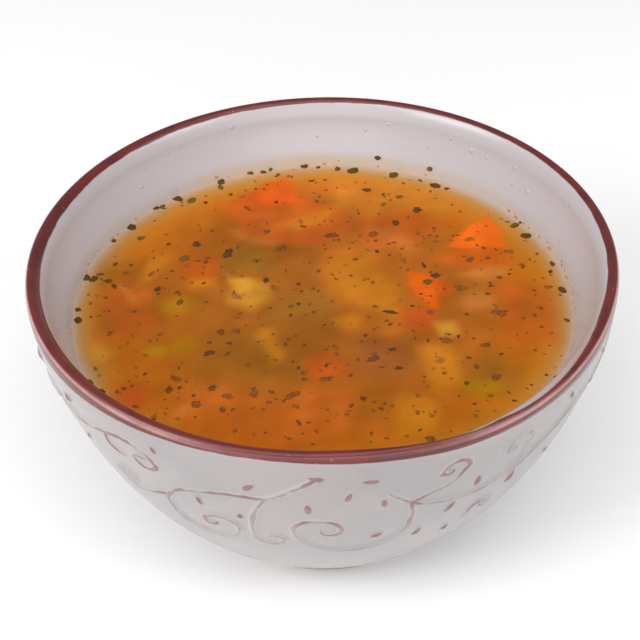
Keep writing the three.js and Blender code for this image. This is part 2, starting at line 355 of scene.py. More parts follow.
def geometry_net(name, sizes):
    """A new geometry tree with a named input for each size, and its net and inputs."""
    tree = bpy.data.node_groups.new(name, "GeometryNodeTree")
    sockets = tree.interface
    sockets.new_socket("Geometry", in_out="INPUT", socket_type="NodeSocketGeometry")
    for label, value in sizes.items():
        kind = "NodeSocketInt" if isinstance(value, int) else "NodeSocketFloat"
        sockets.new_socket(label, in_out="INPUT", socket_type=kind)
    sockets.new_socket("Geometry", in_out="OUTPUT", socket_type="NodeSocketGeometry")
    net = Net(tree)
    given = net.add("NodeGroupInput")
    inputs = {label: Number(net, given.outputs[label]) for label in sizes}
    return net, given.outputs["Geometry"], inputs


def finish_geometry(net, geometry, material):
    """Ends a geometry tree: instances made real, and the material set."""
    real = net.add("GeometryNodeRealizeInstances", {}, {"Geometry": geometry})
    dressed = net.add("GeometryNodeSetMaterial", {},
                      {"Geometry": real.outputs[0], "Material": material})
    net.add("NodeGroupOutput", {}, {"Geometry": dressed.outputs[0]})


def named(net, name, kind="FLOAT"):
    """A point attribute of the tree's geometry."""
    node = net.add("GeometryNodeInputNamedAttribute", {"data_type": kind}, {"Name": name})
    return net.find(node.outputs, "Attribute")


def grow(name, mesh, net, sizes):
    """Runs a geometry tree on a mesh, and returns the result as a plain object."""
    piece = bpy.data.objects.new(name, mesh)
    bpy.context.scene.collection.objects.link(piece)
    modifier = piece.modifiers.new("grow", "NODES")
    modifier.node_group = net.tree
    for item in net.tree.interface.items_tree:
        if item.item_type == "SOCKET" and item.in_out == "INPUT" and item.name in sizes:
            modifier[item.identifier] = sizes[item.name]
    graph = bpy.context.evaluated_depsgraph_get()
    result = bpy.data.meshes.new_from_object(
        piece.evaluated_get(graph), preserve_all_data_layers=True, depsgraph=graph)
    piece.modifiers.remove(modifier)
    piece.data = result
    result.name = name
    if not len(result.polygons):
        raise RuntimeError(f"{name} came out with no faces")
    face_out(result)
    result.shade_smooth()
    return piece


# ---------------------------------------------------------------- meshes


def plain_mesh(name, points, edges=(), faces=(), values=None):
    """A mesh from points, edges and faces, with named values at its points."""
    mesh = bpy.data.meshes.new(name)
    mesh.from_pydata([tuple(p) for p in points], edges, faces)
    for label, data in (values or {}).items():
        data = np.asarray(data, np.float32)
        kind, slot = ("FLOAT", "value") if data.ndim == 1 else ("FLOAT_VECTOR", "vector")
        mesh.attributes.new(label, kind, "POINT").data.foreach_set(slot, data.ravel())
    return mesh


def corners_of(mesh):
    places = np.empty(len(mesh.vertices) * 3, np.float32)
    mesh.vertices.foreach_get("co", places)
    return places.reshape(-1, 3)


def face_out(mesh):
    """Turns a closed mesh's faces outwards if its volume comes out negative."""
    mesh.calc_loop_triangles()
    index = np.empty(len(mesh.loop_triangles) * 3, np.int32)
    mesh.loop_triangles.foreach_get("vertices", index)
    a, b, c = corners_of(mesh)[index.reshape(-1, 3)].transpose(1, 0, 2)
    if np.einsum("ij,ij->i", a, np.cross(b, c)).sum() < 0:
        mesh.flip_normals()


def paint(mesh, name, tints):
    """Stores a linear colour at each point of a mesh."""
    layer = mesh.attributes.new(name, "FLOAT_COLOR", "POINT")
    full = np.ones((len(tints), 4), np.float32)
    full[:, :3] = tints
    layer.data.foreach_set("color", full.ravel())


def hand_over(piece, slot, *nodes):
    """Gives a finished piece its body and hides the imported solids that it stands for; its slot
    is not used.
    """
    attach(piece, BODY)
    if nodes:
        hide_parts(*nodes)


def material(name):
    made = bpy.data.materials.new(name)
    made.use_nodes = True
    return made, Net(made.node_tree)


def object_place(net):
    return net.find(net.add("ShaderNodeTexCoord").outputs, "Object")


def finish_surface(net, sockets):
    """Ends a material with one principled shader."""
    shader = net.add("ShaderNodeBsdfPrincipled", {}, sockets)
    net.add("ShaderNodeOutputMaterial", {}, {"Surface": shader.outputs[0]})


def bump(net, height, distance, strength=1.0):
    return net.add("ShaderNodeBump", {}, {
        "Height": height, "Distance": distance, "Strength": strength}).outputs[0]


# ---------------------------------------------------------------- the bowl's form


def body_top(sizes):
    """Height at which the body's curve passes into the lip."""
    return sizes.height - sizes.lip_round - sizes.lip_neck


def wall_radius(sizes, height):
    """Outer radius of the body at a height: a number, or a node's number."""
    left = 1 - height / body_top(sizes)
    grown = (1 - left ** sizes.body_rise) ** (1 / sizes.body_flare)
    return sizes.body_radius + (sizes.rim_radius - sizes.body_radius) * grown


def wall_normal(sizes, height):
    """Unit vector, outwards and up, that points out of the wall at a height."""
    rise = 0.05 * MM
    low, high = height - rise, min(height + rise, body_top(sizes))
    across = wall_radius(sizes, high) - wall_radius(sizes, low)
    span = math.hypot(across, high - low)
    return (high - low) / span, -across / span


def smooth(t):
    t = min(max(t, 0), 1)
    return t * t * (3 - 2 * t)


def inner_point(sizes, broth, height, further=0):
    """Radius and height of the inner wall opposite an outer height, a little further in."""
    top = body_top(sizes)
    thick = smooth((top - height) / (top - broth.level))
    wall = sizes.wall_top + (sizes.wall_low - sizes.wall_top) * thick + further
    out, up = wall_normal(sizes, height)
    return wall_radius(sizes, height) - out * wall, height - up * wall


def arc(middle, radius, start, end, steps):
    """Points of an arc in the profile plane, from one angle in degrees to another."""
    angles = [math.radians(start + (end - start) * i / steps) for i in range(steps + 1)]
    return [(middle[0] + radius * math.cos(a), middle[1] + radius * math.sin(a)) for a in angles]


def wall_heights(sizes, rows):
    """Heights up the wall, closer together just above the foot."""
    top = body_top(sizes)
    return [sizes.foot_height + (top - sizes.foot_height) * (i / rows) ** 1.35
            for i in range(rows + 1)]


def inner_wall(sizes, broth, rows, further=0):
    """The inner wall's points from the floor's edge up to the lip, swelling below the lip."""
    start = broth.level + 4.5 * MM
    reach = sizes.height - sizes.lip_slope - start
    points = [inner_point(sizes, broth, z, further) for z in wall_heights(sizes, rows)]
    return [(r - sizes.lip_swell * smooth((z - start) / reach), z) for r, z in points]


def inner_radius(sizes, broth, height):
    """Radius of the inner wall at a height."""
    radii, heights = np.array(inner_wall(sizes, broth, 200)).T
    return float(np.interp(height, heights, radii))


def broth_edge(sizes, broth):
    """Radius in mm at which the broth meets the wall."""
    return inner_radius(sizes, broth, broth.level) / MM


LIP_ROWS = 10             # facets round the lip's outer quarter
SLOPE_ROWS = 16           # facets down its inner slope
WALL_ROWS = 84            # facets up the outside
LINING_ROWS = 90          # facets up the inside


def lip_profile(sizes, broth):
    """The lip: round outside, highest near the rim, and sloping down to the inner wall."""
    peak = sizes.rim_radius - sizes.lip_peak
    quarter = [math.pi / 2 * i / LIP_ROWS for i in range(LIP_ROWS + 1)]
    outer = [(peak + sizes.lip_peak * math.cos(a),
              sizes.height - sizes.lip_round * (1 - math.sin(a))) for a in quarter]
    foot_z = sizes.height - sizes.lip_slope
    foot_r = inner_radius(sizes, broth, foot_z)
    corner = foot_r + sizes.lip_lean * sizes.lip_slope
    inner = []
    for i in range(1, SLOPE_ROWS + 1):
        t = i / SLOPE_ROWS
        inner.append((peak * (1 - t) ** 2 + 2 * corner * t * (1 - t) + foot_r * t ** 2,
                      sizes.height - sizes.lip_slope * t ** 2))
    return outer + inner


def bowl_profile(sizes, broth):
    """Half outline of the bowl, from the middle of its underside round to its floor."""
    edge = sizes.foot_edge
    land_inner = sizes.foot_radius - sizes.foot_land - edge
    step = 3 * MM
    rings = int(land_inner / step)
    hollow = [(land_inner - sizes.foot_slope) * i / rings for i in range(rings + 1)]
    underside = [(r, sizes.foot_recess) for r in hollow]
    slope_top = (land_inner - sizes.foot_slope * 0.3, sizes.foot_recess * 0.8)
    foot_in = arc((land_inner + edge, edge), edge, 180, 270, 5)
    foot_out = arc((sizes.foot_radius - edge, edge), edge, 270, 360, 5)
    neck = [(sizes.foot_radius, edge + (sizes.foot_height - edge) * t) for t in (0.35, 0.7)]
    outside = [(wall_radius(sizes, z), z) for z in wall_heights(sizes, WALL_ROWS)]
    lip = lip_profile(sizes, broth)
    below_lip = lip[-1][1] - 0.4 * MM
    inside = [p for p in inner_wall(sizes, broth, LINING_ROWS)[::-1] if p[1] < below_lip]
    floor_edge, floor_z = inside[-1]
    floor = [(floor_edge * t, floor_z - sizes.floor_dish * (1 - t * t))
             for t in (0.9, 0.7, 0.5, 0.3, 0.1, 0)]
    return [*underside, slope_top, *foot_in, *foot_out, *neck, *outside, *lip, *inside, *floor]


def lathe_net(shade):
    """Turns the profile in the input mesh, one point a row, about the Z axis."""
    net, profile, given = geometry_net("turn_profile", {"Turns": 3})
    around = given["Turns"] + 1
    rows = net.number("GeometryNodeAttributeDomainSize", {}, {"Geometry": profile},
                      "Point Count")
    grid = net.add("GeometryNodeMeshGrid", {}, {"Vertices X": rows, "Vertices Y": around})
    index = net.number("GeometryNodeInputIndex", {}, {}, "Index")
    row = net.math("FLOOR", net.math("DIVIDE", index, around))
    turn = (index - row * around) * (2 * math.pi) / given["Turns"]
    at = net.add("GeometryNodeInputPosition").outputs[0]
    sampled = net.add("GeometryNodeSampleIndex", {"data_type": "FLOAT_VECTOR"},
                      {"Geometry": profile, "Value": at, "Index": row})
    radius, _, height = net.split(net.find(sampled.outputs, "Value"))
    place = net.join(radius * net.math("COSINE", turn), radius * net.math("SINE", turn), height)
    moved = net.add("GeometryNodeSetPosition", {},
                    {"Geometry": grid.outputs["Mesh"], "Position": place})
    merged = net.add("GeometryNodeMergeByDistance", {},
                     {"Geometry": moved.outputs[0], "Distance": 0.001 * MM})
    finish_geometry(net, merged.outputs[0], shade)
    return net


def turned(name, profile, turns, shade):
    """A closed piece turned from its profile."""
    outline = plain_mesh(name + "_profile", [(r, 0, z) for r, z in profile])
    return grow(name, outline, lathe_net(shade), {"Turns": turns})


SAG_FULL = 1.5 * MM       # how far below the lip the sag is at its fullest
SAG_THINS = 0.8 * MM      # how far in from the rim the lip begins to thin
SAG_THINNED = 2 * MM      # how much further in it has thinned fully


def sag_lip(mesh, sizes):
    """Lets the lip sag at one place, and keeps at each point where it was thrown."""
    places = corners_of(mesh)
    kept = mesh.attributes.new("thrown", "FLOAT_VECTOR", "POINT")
    kept.data.foreach_set("vector", places.ravel())
    x, y, z = places.astype(float).T
    radius = np.maximum(np.hypot(x, y), MM)
    aside = (np.arctan2(x, -y) - sizes.sag_place) / sizes.sag_reach
    near = np.maximum(1 - aside ** 2, 0) ** 2
    up = np.clip((z - sizes.height + sizes.sag_from) / (sizes.sag_from - SAG_FULL), 0, 1)
    sag = near * up * up * (3 - 2 * up)
    inner = np.clip((sizes.rim_radius - radius - SAG_THINS) / SAG_THINNED, 0, 1)
    out = sag * (sizes.sag_lean + sizes.sag_thin * inner)
    moved = np.stack([x + x / radius * out, y + y / radius * out, z - sag * sizes.sag_drop], 1)
    mesh.vertices.foreach_set("co", moved.astype(np.float32).ravel())
    mesh.update()


# ---------------------------------------------------------------- glaze


BAND_SOFT = 0.18 * MM     # half the width over which the band's lower edge fades
BAND_WAVE_AT = 0.52       # where, in radians, the waves of its lower edge begin
BAND_OVER_SAG = 1.15 * MM # how much higher that edge was brushed where the lip sags


def glaze_sockets(net, tint, rough, height):
    """Sockets of the clear, slightly wavy glaze over a colour."""
    return {"Base Color": tint, "Roughness": rough, "IOR": 1.5, "Specular IOR Level": 0.5,
            "Normal": bump(net, height, 0.12 * MM, 0.6)}


def glaze_ground(net, place, colours):
    """The off-white glaze with its cool and warm patches, and its fine unevenness."""
    patches = net.noise(place, 38, 3).step(0.35, 0.68)
    tint = net.blend(patches, tuple(colours.glaze), tuple(colours.glaze_cool))
    return tint, net.noise(place, 90, 3)


def dried_film(net, place, broth, turn, height):
    """How much dried broth lies on the inner wall: a ring above the level, most behind."""
    wander = (net.noise(place, 80, 4, 0.8) - 0.5) * broth.tide
    top = broth.level + wander
    ring = 1 - height.step(top + 0.4 * MM, top + broth.dried)
    above_broth = height.step(broth.level - 6 * MM, broth.level - 5 * MM)
    behind = (net.math("COSINE", turn) * -1).most(0) ** 4
    return above_broth * ring * (0.25 + behind * 0.45 + net.noise(place, 330, 2) * 0.3)


def band_edges(net, sizes, turn, ripple):
    """Height of the band's lower edge outside, and radius at which it ends inside."""
    right, back = net.math("SINE", turn), net.math("COSINE", turn) * -1
    beside_sag = (turn - sizes.sag_place) / sizes.sag_reach
    sag = (1 - beside_sag * beside_sag).most(0) ** 2
    waves_round = net.math("COSINE", turn * 3 + BAND_WAVE_AT) * sizes.band_wave
    drop = sizes.band_drop + right * sizes.band_tilt - waves_round
    lower = sizes.height - drop + sag * BAND_OVER_SAG + ripple * (0.7 * MM)
    aside = (right * 0.77 + back * 0.64) * (0.5 * MM)
    into_sag = sag * (4.3 - turn * 5).most(0) * MM
    inner = sizes.rim_radius - sizes.band_inner + aside - into_sag + ripple * (0.4 * MM)
    return lower, inner


def band_brown(net, place, sizes, colours, axis):
    """The band's brown: mottled and chipped, with a painted highlight along the lip's flank,
    strongest away from the front.
    """
    radius, height, turn, ripple = axis
    brown = net.blend(net.noise(place, 120, 4).step(0.35, 0.7),
                      tuple(colours.band), tuple(colours.band_deep))
    chips = net.noise(place, 520, 2).step(0.7, 0.76) * 0.35
    brown = net.blend(chips, brown, tuple(colours.smudge))
    # painted highlight: the band is drawn paler along the lip's flank, more so away from the
    # front
    flank = height.step(sizes.height - 1.75 * MM, sizes.height - 0.95 * MM)
    flank = flank * (1 - height.step(sizes.height - 0.8 * MM, sizes.height - 0.3 * MM))
    flank = flank * radius.step(sizes.rim_radius - 1.4 * MM, sizes.rim_radius - 1 * MM)
    highlight_off_front = (turn * turn).step(0.02, 0.3)
    thin = (0.1 + highlight_off_front * 0.65) * (1 + ripple)
    return net.blend(flank * thin, brown, tuple(colours.painted_lip_highlight))


def bowl_shade(sizes, broth, colours):
    """Glaze with the brown band at the lip, the dried broth inside and the bare foot."""
    made, net = material("stoneware_glaze")
    place = net.add("ShaderNodeAttribute", {"attribute_name": "thrown"}).outputs["Vector"]
    x, y, height = net.split(place)
    radius = (x * x + y * y) ** 0.5
    turn = net.math("ARCTAN2", x, y * -1)
    tint, unevenness = glaze_ground(net, place, colours)

    # the lining, painted lighter and cooler than the outside glaze, and the broth dried on it
    body = wall_radius(sizes, height.least(body_top(sizes)))
    inside = 1 - (radius - body).step(-2.4 * MM, -2 * MM)
    film = inside * dried_film(net, place, broth, turn, height)
    tint = net.blend(inside, tint, tuple(colours.lining))
    tint = net.blend(film.least(0.9), tint, tuple(colours.stain))

    # the brown band with its painted highlight on the lip's flank, and the pink that bleeds below
    # it
    ripple = net.noise(place, 150, 2) - 0.5
    lower, inner = band_edges(net, sizes, turn, ripple)
    outer = height.step(lower - BAND_SOFT, lower + BAND_SOFT)
    within = radius.step(inner - 0.12 * MM, inner + 0.15 * MM)
    bleed = height.step(lower - 2.2 * MM, lower) * within
    bleed = bleed * net.noise(place, 70, 3).step(0.4, 0.7)
    tint = net.blend(bleed * 0.5, tint, tuple(colours.smudge))
    band = outer * within
    brown = band_brown(net, place, sizes, colours, (radius, height, turn, ripple))
    tint = net.blend(band, tint, brown)

    # bare clay on the foot ring's underside
    bare = (1 - height.step(0.5 * MM, 0.9 * MM)) * radius.step(30 * MM, 31 * MM)
    clay = net.blend(net.noise(place, 600, 4), tuple(colours.clay), tuple(colours.stain))
    tint = net.blend(bare, tint, clay)
    crown = height.step(sizes.height - 0.7 * MM, sizes.height - 0.3 * MM)
    rough = 0.2 + inside * 0.06 + band * crown * 0.12 + bare * 0.5 + film * 0.15
    throwing = net.noise(net.join(0, 0, height), 700, 2) * inside * 0.35
    finish_surface(net, glaze_sockets(net, tint, rough, unevenness + throwing))
    return made


def relief_shade(colours, name, fine, worn, least):
    """Glaze over the relief, with a painted highlight on its flanks: brown where it wears thin on
    a crest, in a line or in patches.
    """
    made, net = material(name)
    place = object_place(net)
    _, _, z = net.split(place)
    tint, unevenness = glaze_ground(net, place, colours)
    crest = net.number("ShaderNodeAttribute", {"attribute_name": "crest"}, {}, "Fac")
    # painted highlight: the relief's flanks are drawn paler
    flank = crest.step(0.05, 0.4) * (1 - crest.step(0.5, 0.8))
    tint = net.blend(flank * 0.25, tint, tuple(colours.painted_flank_highlight))
    patch = net.noise(place, 125, 1).step(0.45, 0.6)
    level = fine - patch * (fine - worn) + (net.noise(place, 520, 2) - 0.5) * 0.5
    shown = crest.step(level - 0.07, level + 0.05)
    kept = net.noise(place, 55, 1).step(0.3, 0.5) * z.step(36 * MM, 46 * MM)
    fade = (kept * 0.6 + patch * 0.3).most(least) * (0.8 + net.noise(place, 330, 2) * 0.5)
    tint = net.blend(shown * fade, tint, tuple(colours.crest))
    finish_surface(net, glaze_sockets(net, tint, 0.24, unevenness))
    return made


class MINESTRONE_OT_bowl(bpy.types.Operator):
    """Turn the stoneware bowl and glaze it"""

    bl_idname = "minestrone.bowl"
    bl_label = "Bowl"

    def execute(self, context):
        settings = context.scene.minestrone
        sizes, broth = settings.bowl, settings.broth
        shade = bowl_shade(sizes, broth, settings.colours)
        piece = turned("glazed_bowl", bowl_profile(sizes, broth), sizes.turns, shade)
        sag_lip(piece.data, sizes)
        hand_over(piece, "stoneware", "bowl")
        return {"FINISHED"}


# ---------------------------------------------------------------- vine scroll

# The scroll is drawn on the unrolled wall as seen from outside: (degrees to the right of
# the front, height in mm). A vine runs through its stem's points and then may wind into a
# curl, a chain of half turns: (side of the first one, above or below, widths in mm).
VINES = [
    ([(-2, 70.4), (-6.7, 65.9), (-11.3, 62.1), (-19.3, 61.1), (-28.4, 57.1), (-32.3, 51),
      (-32.5, 45.4)], (1, -1, (15.9, 8, 2.8))),
    ([(-11.3, 61.8), (-13.4, 56.7), (-14.9, 49.2), (-15.2, 42.4)], (1, -1, (6.6, 3.3))),
    ([(15, 56.9), (15.7, 52.6), (15.6, 48)], (-1, -1, (24.8, 10.2, 4.5))),
    ([(15, 56.9), (13, 59.7), (10.4, 63)], None),
    ([(15, 56.9), (18.4, 59.4), (22.5, 61.4), (25.6, 66.2)], (-1, 1, (5.7, 2.3))),
    ([(15, 56.9), (19, 54.6), (24.4, 52.9), (30.1, 52.3), (35.6, 54.2), (39, 59),
      (39.9, 64.2)], (-1, 1, (6.5, 2.6))),
    ([(33.4, 53.3), (39.1, 54.4), (45.5, 58.4), (53, 62), (60, 62.6)], None),
    ([(-60, 62.6), (-52, 63.2), (-45.8, 65.9), (-39.5, 68.5), (-34.4, 67.6), (-32.2, 63.8)],
     (-1, -1, (5.3, 2.6))),
    ([(-43.9, 66.6), (-43.4, 62.9), (-39.6, 61.2)], None),
    ([(-32.3, 52.3), (-35.1, 50.2), (-39, 47.6), (-42.4, 46.7), (-45.2, 51.4)],
     (1, 1, (5.4, 2.4))),
    ([(29.4, 37), (29.9, 41.8)], (1, 1, (5.8, 2.6))),
]

# Buds: (degrees, height and length in mm, lean from upright in degrees).
BUDS = [
    (-24.8, 54.8, 4.4, 6), (-17, 51.8, 2.4, 0), (-14, 65.7, 3.6, -38), (-31.7, 70, 2.6, 20),
    (-3.8, 58.6, 4.6, 3), (3.5, 63.2, 4.8, -12), (7.2, 68.4, 3.8, 80), (9.9, 58.9, 4.4, 4),
    (9.3, 43.1, 3.6, -60), (18.3, 40.1, 4.6, -18), (23.9, 48.7, 4.8, -28), (28.7, 57, 4.4, 0),
    (38.5, 49.2, 5, -14), (-2, 70.4, 3, 70), (25.4, 36.4, 3, -25), (20.4, 66, 2.8, 0),
    (51, 67.8, 4, 30), (50, 48, 4.4, 40), (-53, 56, 4, -30), (-55, 68, 3, 60),
]


def half_turns(start, side, over, widths, step):
    """Points, in mm on the unrolled wall, of a curl's half turns."""
    points = []
    left, height = start
    for width in widths:
        steps = max(6, round(math.pi * width / 2 / step))
        for i in range(1, steps + 1):
            t = math.pi * i / steps
            points.append((left + side * width / 2 * (1 - math.cos(t)),
                           height + over * width * math.sin(t) / 2))
        left += side * width
        side, over = -side, -over
    return points


def smooth_through(points, step):
    """Evenly spaced points on a smooth curve through the given ones."""
    knots = np.array([points[0], *points, points[-1]], float)
    knots[0] = 2 * knots[1] - knots[2]
    knots[-1] = 2 * knots[-2] - knots[-3]
    fine = []
    for a, b, c, d in zip(knots, knots[1:], knots[2:], knots[3:]):
        for t in np.arange(0, 1, 0.05):
            fine.append(0.5 * (2 * b + (c - a) * t + (2 * a - 5 * b + 4 * c - d) * t ** 2
                               + (3 * b - a - 3 * c + d) * t ** 3))
    fine = np.array([*fine, knots[-2]])
    along = np.r_[0, np.cumsum(np.hypot(*np.diff(fine, axis=0).T))]
    even = np.linspace(0, along[-1], max(3, round(along[-1] / step)) + 1)
    return [tuple(p) for p in np.c_[np.interp(even, along, fine[:, 0]),
                                    np.interp(even, along, fine[:, 1])]]


def vine_lines(scroll):
    """All vines as one mesh of lines on the unrolled wall, with their size at each point."""
    step = scroll.step / MM
    points, edges, sizes = [], [], []
    for stem, curl in VINES:
        flat = [(a * scroll.mm_per_degree, h) for a, h in stem]
        line = smooth_through(flat, step)
        if curl:
            line += half_turns(line[-1], *curl, step)
        first = len(points)
        points += [(x * MM, h * MM, 0) for x, h in line]
        edges += [(first + i, first + i + 1) for i in range(len(line) - 1)]
        for i in range(len(line)):
            near = min(i, len(line) - 1 - i) * step * MM / scroll.vine_round
            sizes.append(scroll.vine_end + (1 - scroll.vine_end) * min(near, 1) ** 0.5)
    return plain_mesh("vine_lines", points, edges, values={"size": sizes})


def bud_points(scroll):
    """Places of the buds on the unrolled wall, with their sizes and leans."""
    points = [(a * scroll.mm_per_degree * MM, h * MM, 0) for a, h, _, _ in BUDS]
    sizes = [(scroll.bud_width / 2, long * scroll.bud_spread * MM / 2, scroll.bud_height)
             for _, _, long, _ in BUDS]
    turns = [(0, 0, math.radians(lean)) for _, _, _, lean in BUDS]
    return plain_mesh("bud_points", points, values={"size": sizes, "turn": turns})


def wrap_round(net, geometry, given, sizes, scroll):
    """Lays unrolled geometry on the wall and repeats it round the bowl."""
    across, height, off = net.split(net.add("GeometryNodeInputPosition").outputs[0])
    turn = across * (math.radians(1) / (scroll.mm_per_degree * MM))
    rise = 0.1 * MM
    slope = (wall_radius(sizes, height + rise) - wall_radius(sizes, height - rise)) / (2 * rise)
    span = (1 + slope * slope) ** 0.5
    reach = wall_radius(sizes, height) + off * net.math("DIVIDE", 1, span)
    place = net.join(reach * net.math("SINE", turn), reach * net.math("COSINE", turn) * -1,
                     height - off * slope / span)
    laid = net.add("GeometryNodeSetPosition", {}, {"Geometry": geometry, "Position": place})
    middles = net.add("GeometryNodePoints", {}, {"Count": given["Copies"]})
    index = net.number("GeometryNodeInputIndex", {}, {}, "Index")
    spin = net.join(0, 0, index * (2 * math.pi) / given["Copies"])
    turned_by = net.add("FunctionNodeEulerToRotation", {}, {"Euler": spin})
    copies = net.add("GeometryNodeInstanceOnPoints", {}, {
        "Points": middles.outputs[0], "Instance": laid.outputs[0],
        "Rotation": turned_by.outputs[0]})
    return copies.outputs[0]


def keep_crest(net, geometry, height):
    """Stores how near each point is to the relief's crest, before it is laid on the wall."""
    _, _, off = net.split(net.add("GeometryNodeInputPosition").outputs[0])
    kept = net.add("GeometryNodeStoreNamedAttribute", {}, {
        "Geometry": geometry, "Name": "crest", "Value": off / height})
    return kept.outputs[0]


def vine_net(sizes, scroll, shade):
    """Sweeps a bell-shaped section along the vines."""
    labels = {"Width": 1.0, "Height": 1.0, "Root": 1.0, "Sink": 1.0, "Copies": 1}
    net, lines, given = geometry_net("vine_scroll", labels)
    curve = net.add("GeometryNodeMeshToCurve", {}, {"Mesh": lines})
    flat = net.add("GeometryNodeSetCurveNormal", {"mode": "Z_UP"}, {"Curve": curve.outputs[0]})
    circle = net.add("GeometryNodeCurvePrimitiveCircle", {}, {"Resolution": 32, "Radius": 1.0})
    side, up, _ = net.split(net.add("GeometryNodeInputPosition").outputs[0])
    into = given["Sink"] - up.most(0) ** 6 * given["Height"] - up.least(0) * given["Root"]
    bell = net.add("GeometryNodeSetPosition", {}, {
        "Geometry": circle.outputs["Curve"],
        "Position": net.join(side * given["Width"] / 2, into, 0)})
    swept = net.add("GeometryNodeCurveToMesh", {}, {
        "Curve": flat.outputs[0], "Profile Curve": bell.outputs[0],
        "Scale": named(net, "size"), "Fill Caps": True})
    kept = keep_crest(net, swept.outputs[0], given["Height"] * named(net, "size"))
    finish_geometry(net, wrap_round(net, kept, given, sizes, scroll), shade)
    return net


def bud_net(sizes, scroll, shade):
    """Sets a drop-shaped bud on each place."""
    labels = {"Height": 1.0, "Taper": 1.0, "Root": 1.0, "Sink": 1.0, "Copies": 1}
    net, places, given = geometry_net("buds", labels)
    ball = net.add("GeometryNodeMeshUVSphere", {}, {"Segments": 16, "Rings": 18, "Radius": 1.0})
    x, y, z = net.split(net.add("GeometryNodeInputPosition").outputs[0])
    narrow = 1 - (y + 1) * 0.5 * given["Taper"]
    over = z.most(0) ** 4 + z.least(0) * given["Root"] - given["Sink"]
    drop = net.add("GeometryNodeSetPosition", {}, {
        "Geometry": ball.outputs["Mesh"], "Position": net.join(x * narrow, y, over)})
    turn = net.add("FunctionNodeEulerToRotation", {}, {"Euler": named(net, "turn",
                                                                      "FLOAT_VECTOR")})
    set_out = net.add("GeometryNodeInstanceOnPoints", {}, {
        "Points": places, "Instance": drop.outputs[0], "Rotation": turn.outputs[0],
        "Scale": named(net, "size", "FLOAT_VECTOR")})
    real = net.add("GeometryNodeRealizeInstances", {}, {"Geometry": set_out.outputs[0]})
    kept = keep_crest(net, real.outputs[0], given["Height"])
    finish_geometry(net, wrap_round(net, kept, given, sizes, scroll), shade)
    return net


class MINESTRONE_OT_scroll(bpy.types.Operator):
    """Raise the vine scroll and its buds on the bowl's outside"""

    bl_idname = "minestrone.scroll"
    bl_label = "Vine scroll"

    def execute(self, context):
        settings = context.scene.minestrone
        sizes, scroll, colours = settings.bowl, settings.scroll, settings.colours
        shade = relief_shade(colours, "vine_glaze", 0.91, 0.58, 0.3)
        vines = grow("vine_scroll", vine_lines(scroll), vine_net(sizes, scroll, shade), {
            "Width": scroll.vine_width, "Height": scroll.vine_height,
            "Root": scroll.vine_root, "Sink": scroll.vine_sink, "Copies": scroll.copies})
        hand_over(vines, "stoneware", "bowl")
        shade = relief_shade(colours, "bud_glaze", 0.36, 0.16, 0.9)
        buds = grow("vine_buds", bud_points(scroll), bud_net(sizes, scroll, shade), {
            "Height": scroll.bud_height, "Taper": scroll.bud_taper,
            "Root": scroll.vine_root / scroll.bud_height,
            "Sink": scroll.vine_sink / scroll.bud_height, "Copies": scroll.copies})
        hand_over(buds, "stoneware", "bowl")
        return {"FINISHED"}


# ---------------------------------------------------------------- broth

# Colours that sunk pieces would show at the surface.
CARROT = (236, 104, 28)
CARROT_TIP = (232, 92, 16)
# Painted shade: the darker lower side of a sunk carrot piece, beside its brighter top.
SHADED_CARROT_SIDE = (214, 88, 28)
COOKED_CARROT = (206, 96, 36)
TOMATO = (204, 78, 32)
POTATO = (218, 156, 54)
PASTA = (210, 134, 34)
PALE_ROOT = (212, 132, 66)
COURGETTE = (146, 104, 38)
LEAF_GREEN = (168, 126, 14)
BEAN_SKIN = (148, 82, 50)
DEEP_CARROT = (208, 94, 30)
MURKY_ORANGE = (200, 112, 38)
MURKY_GOLD = (216, 136, 46)
MURKY_BROWN = (146, 88, 32)

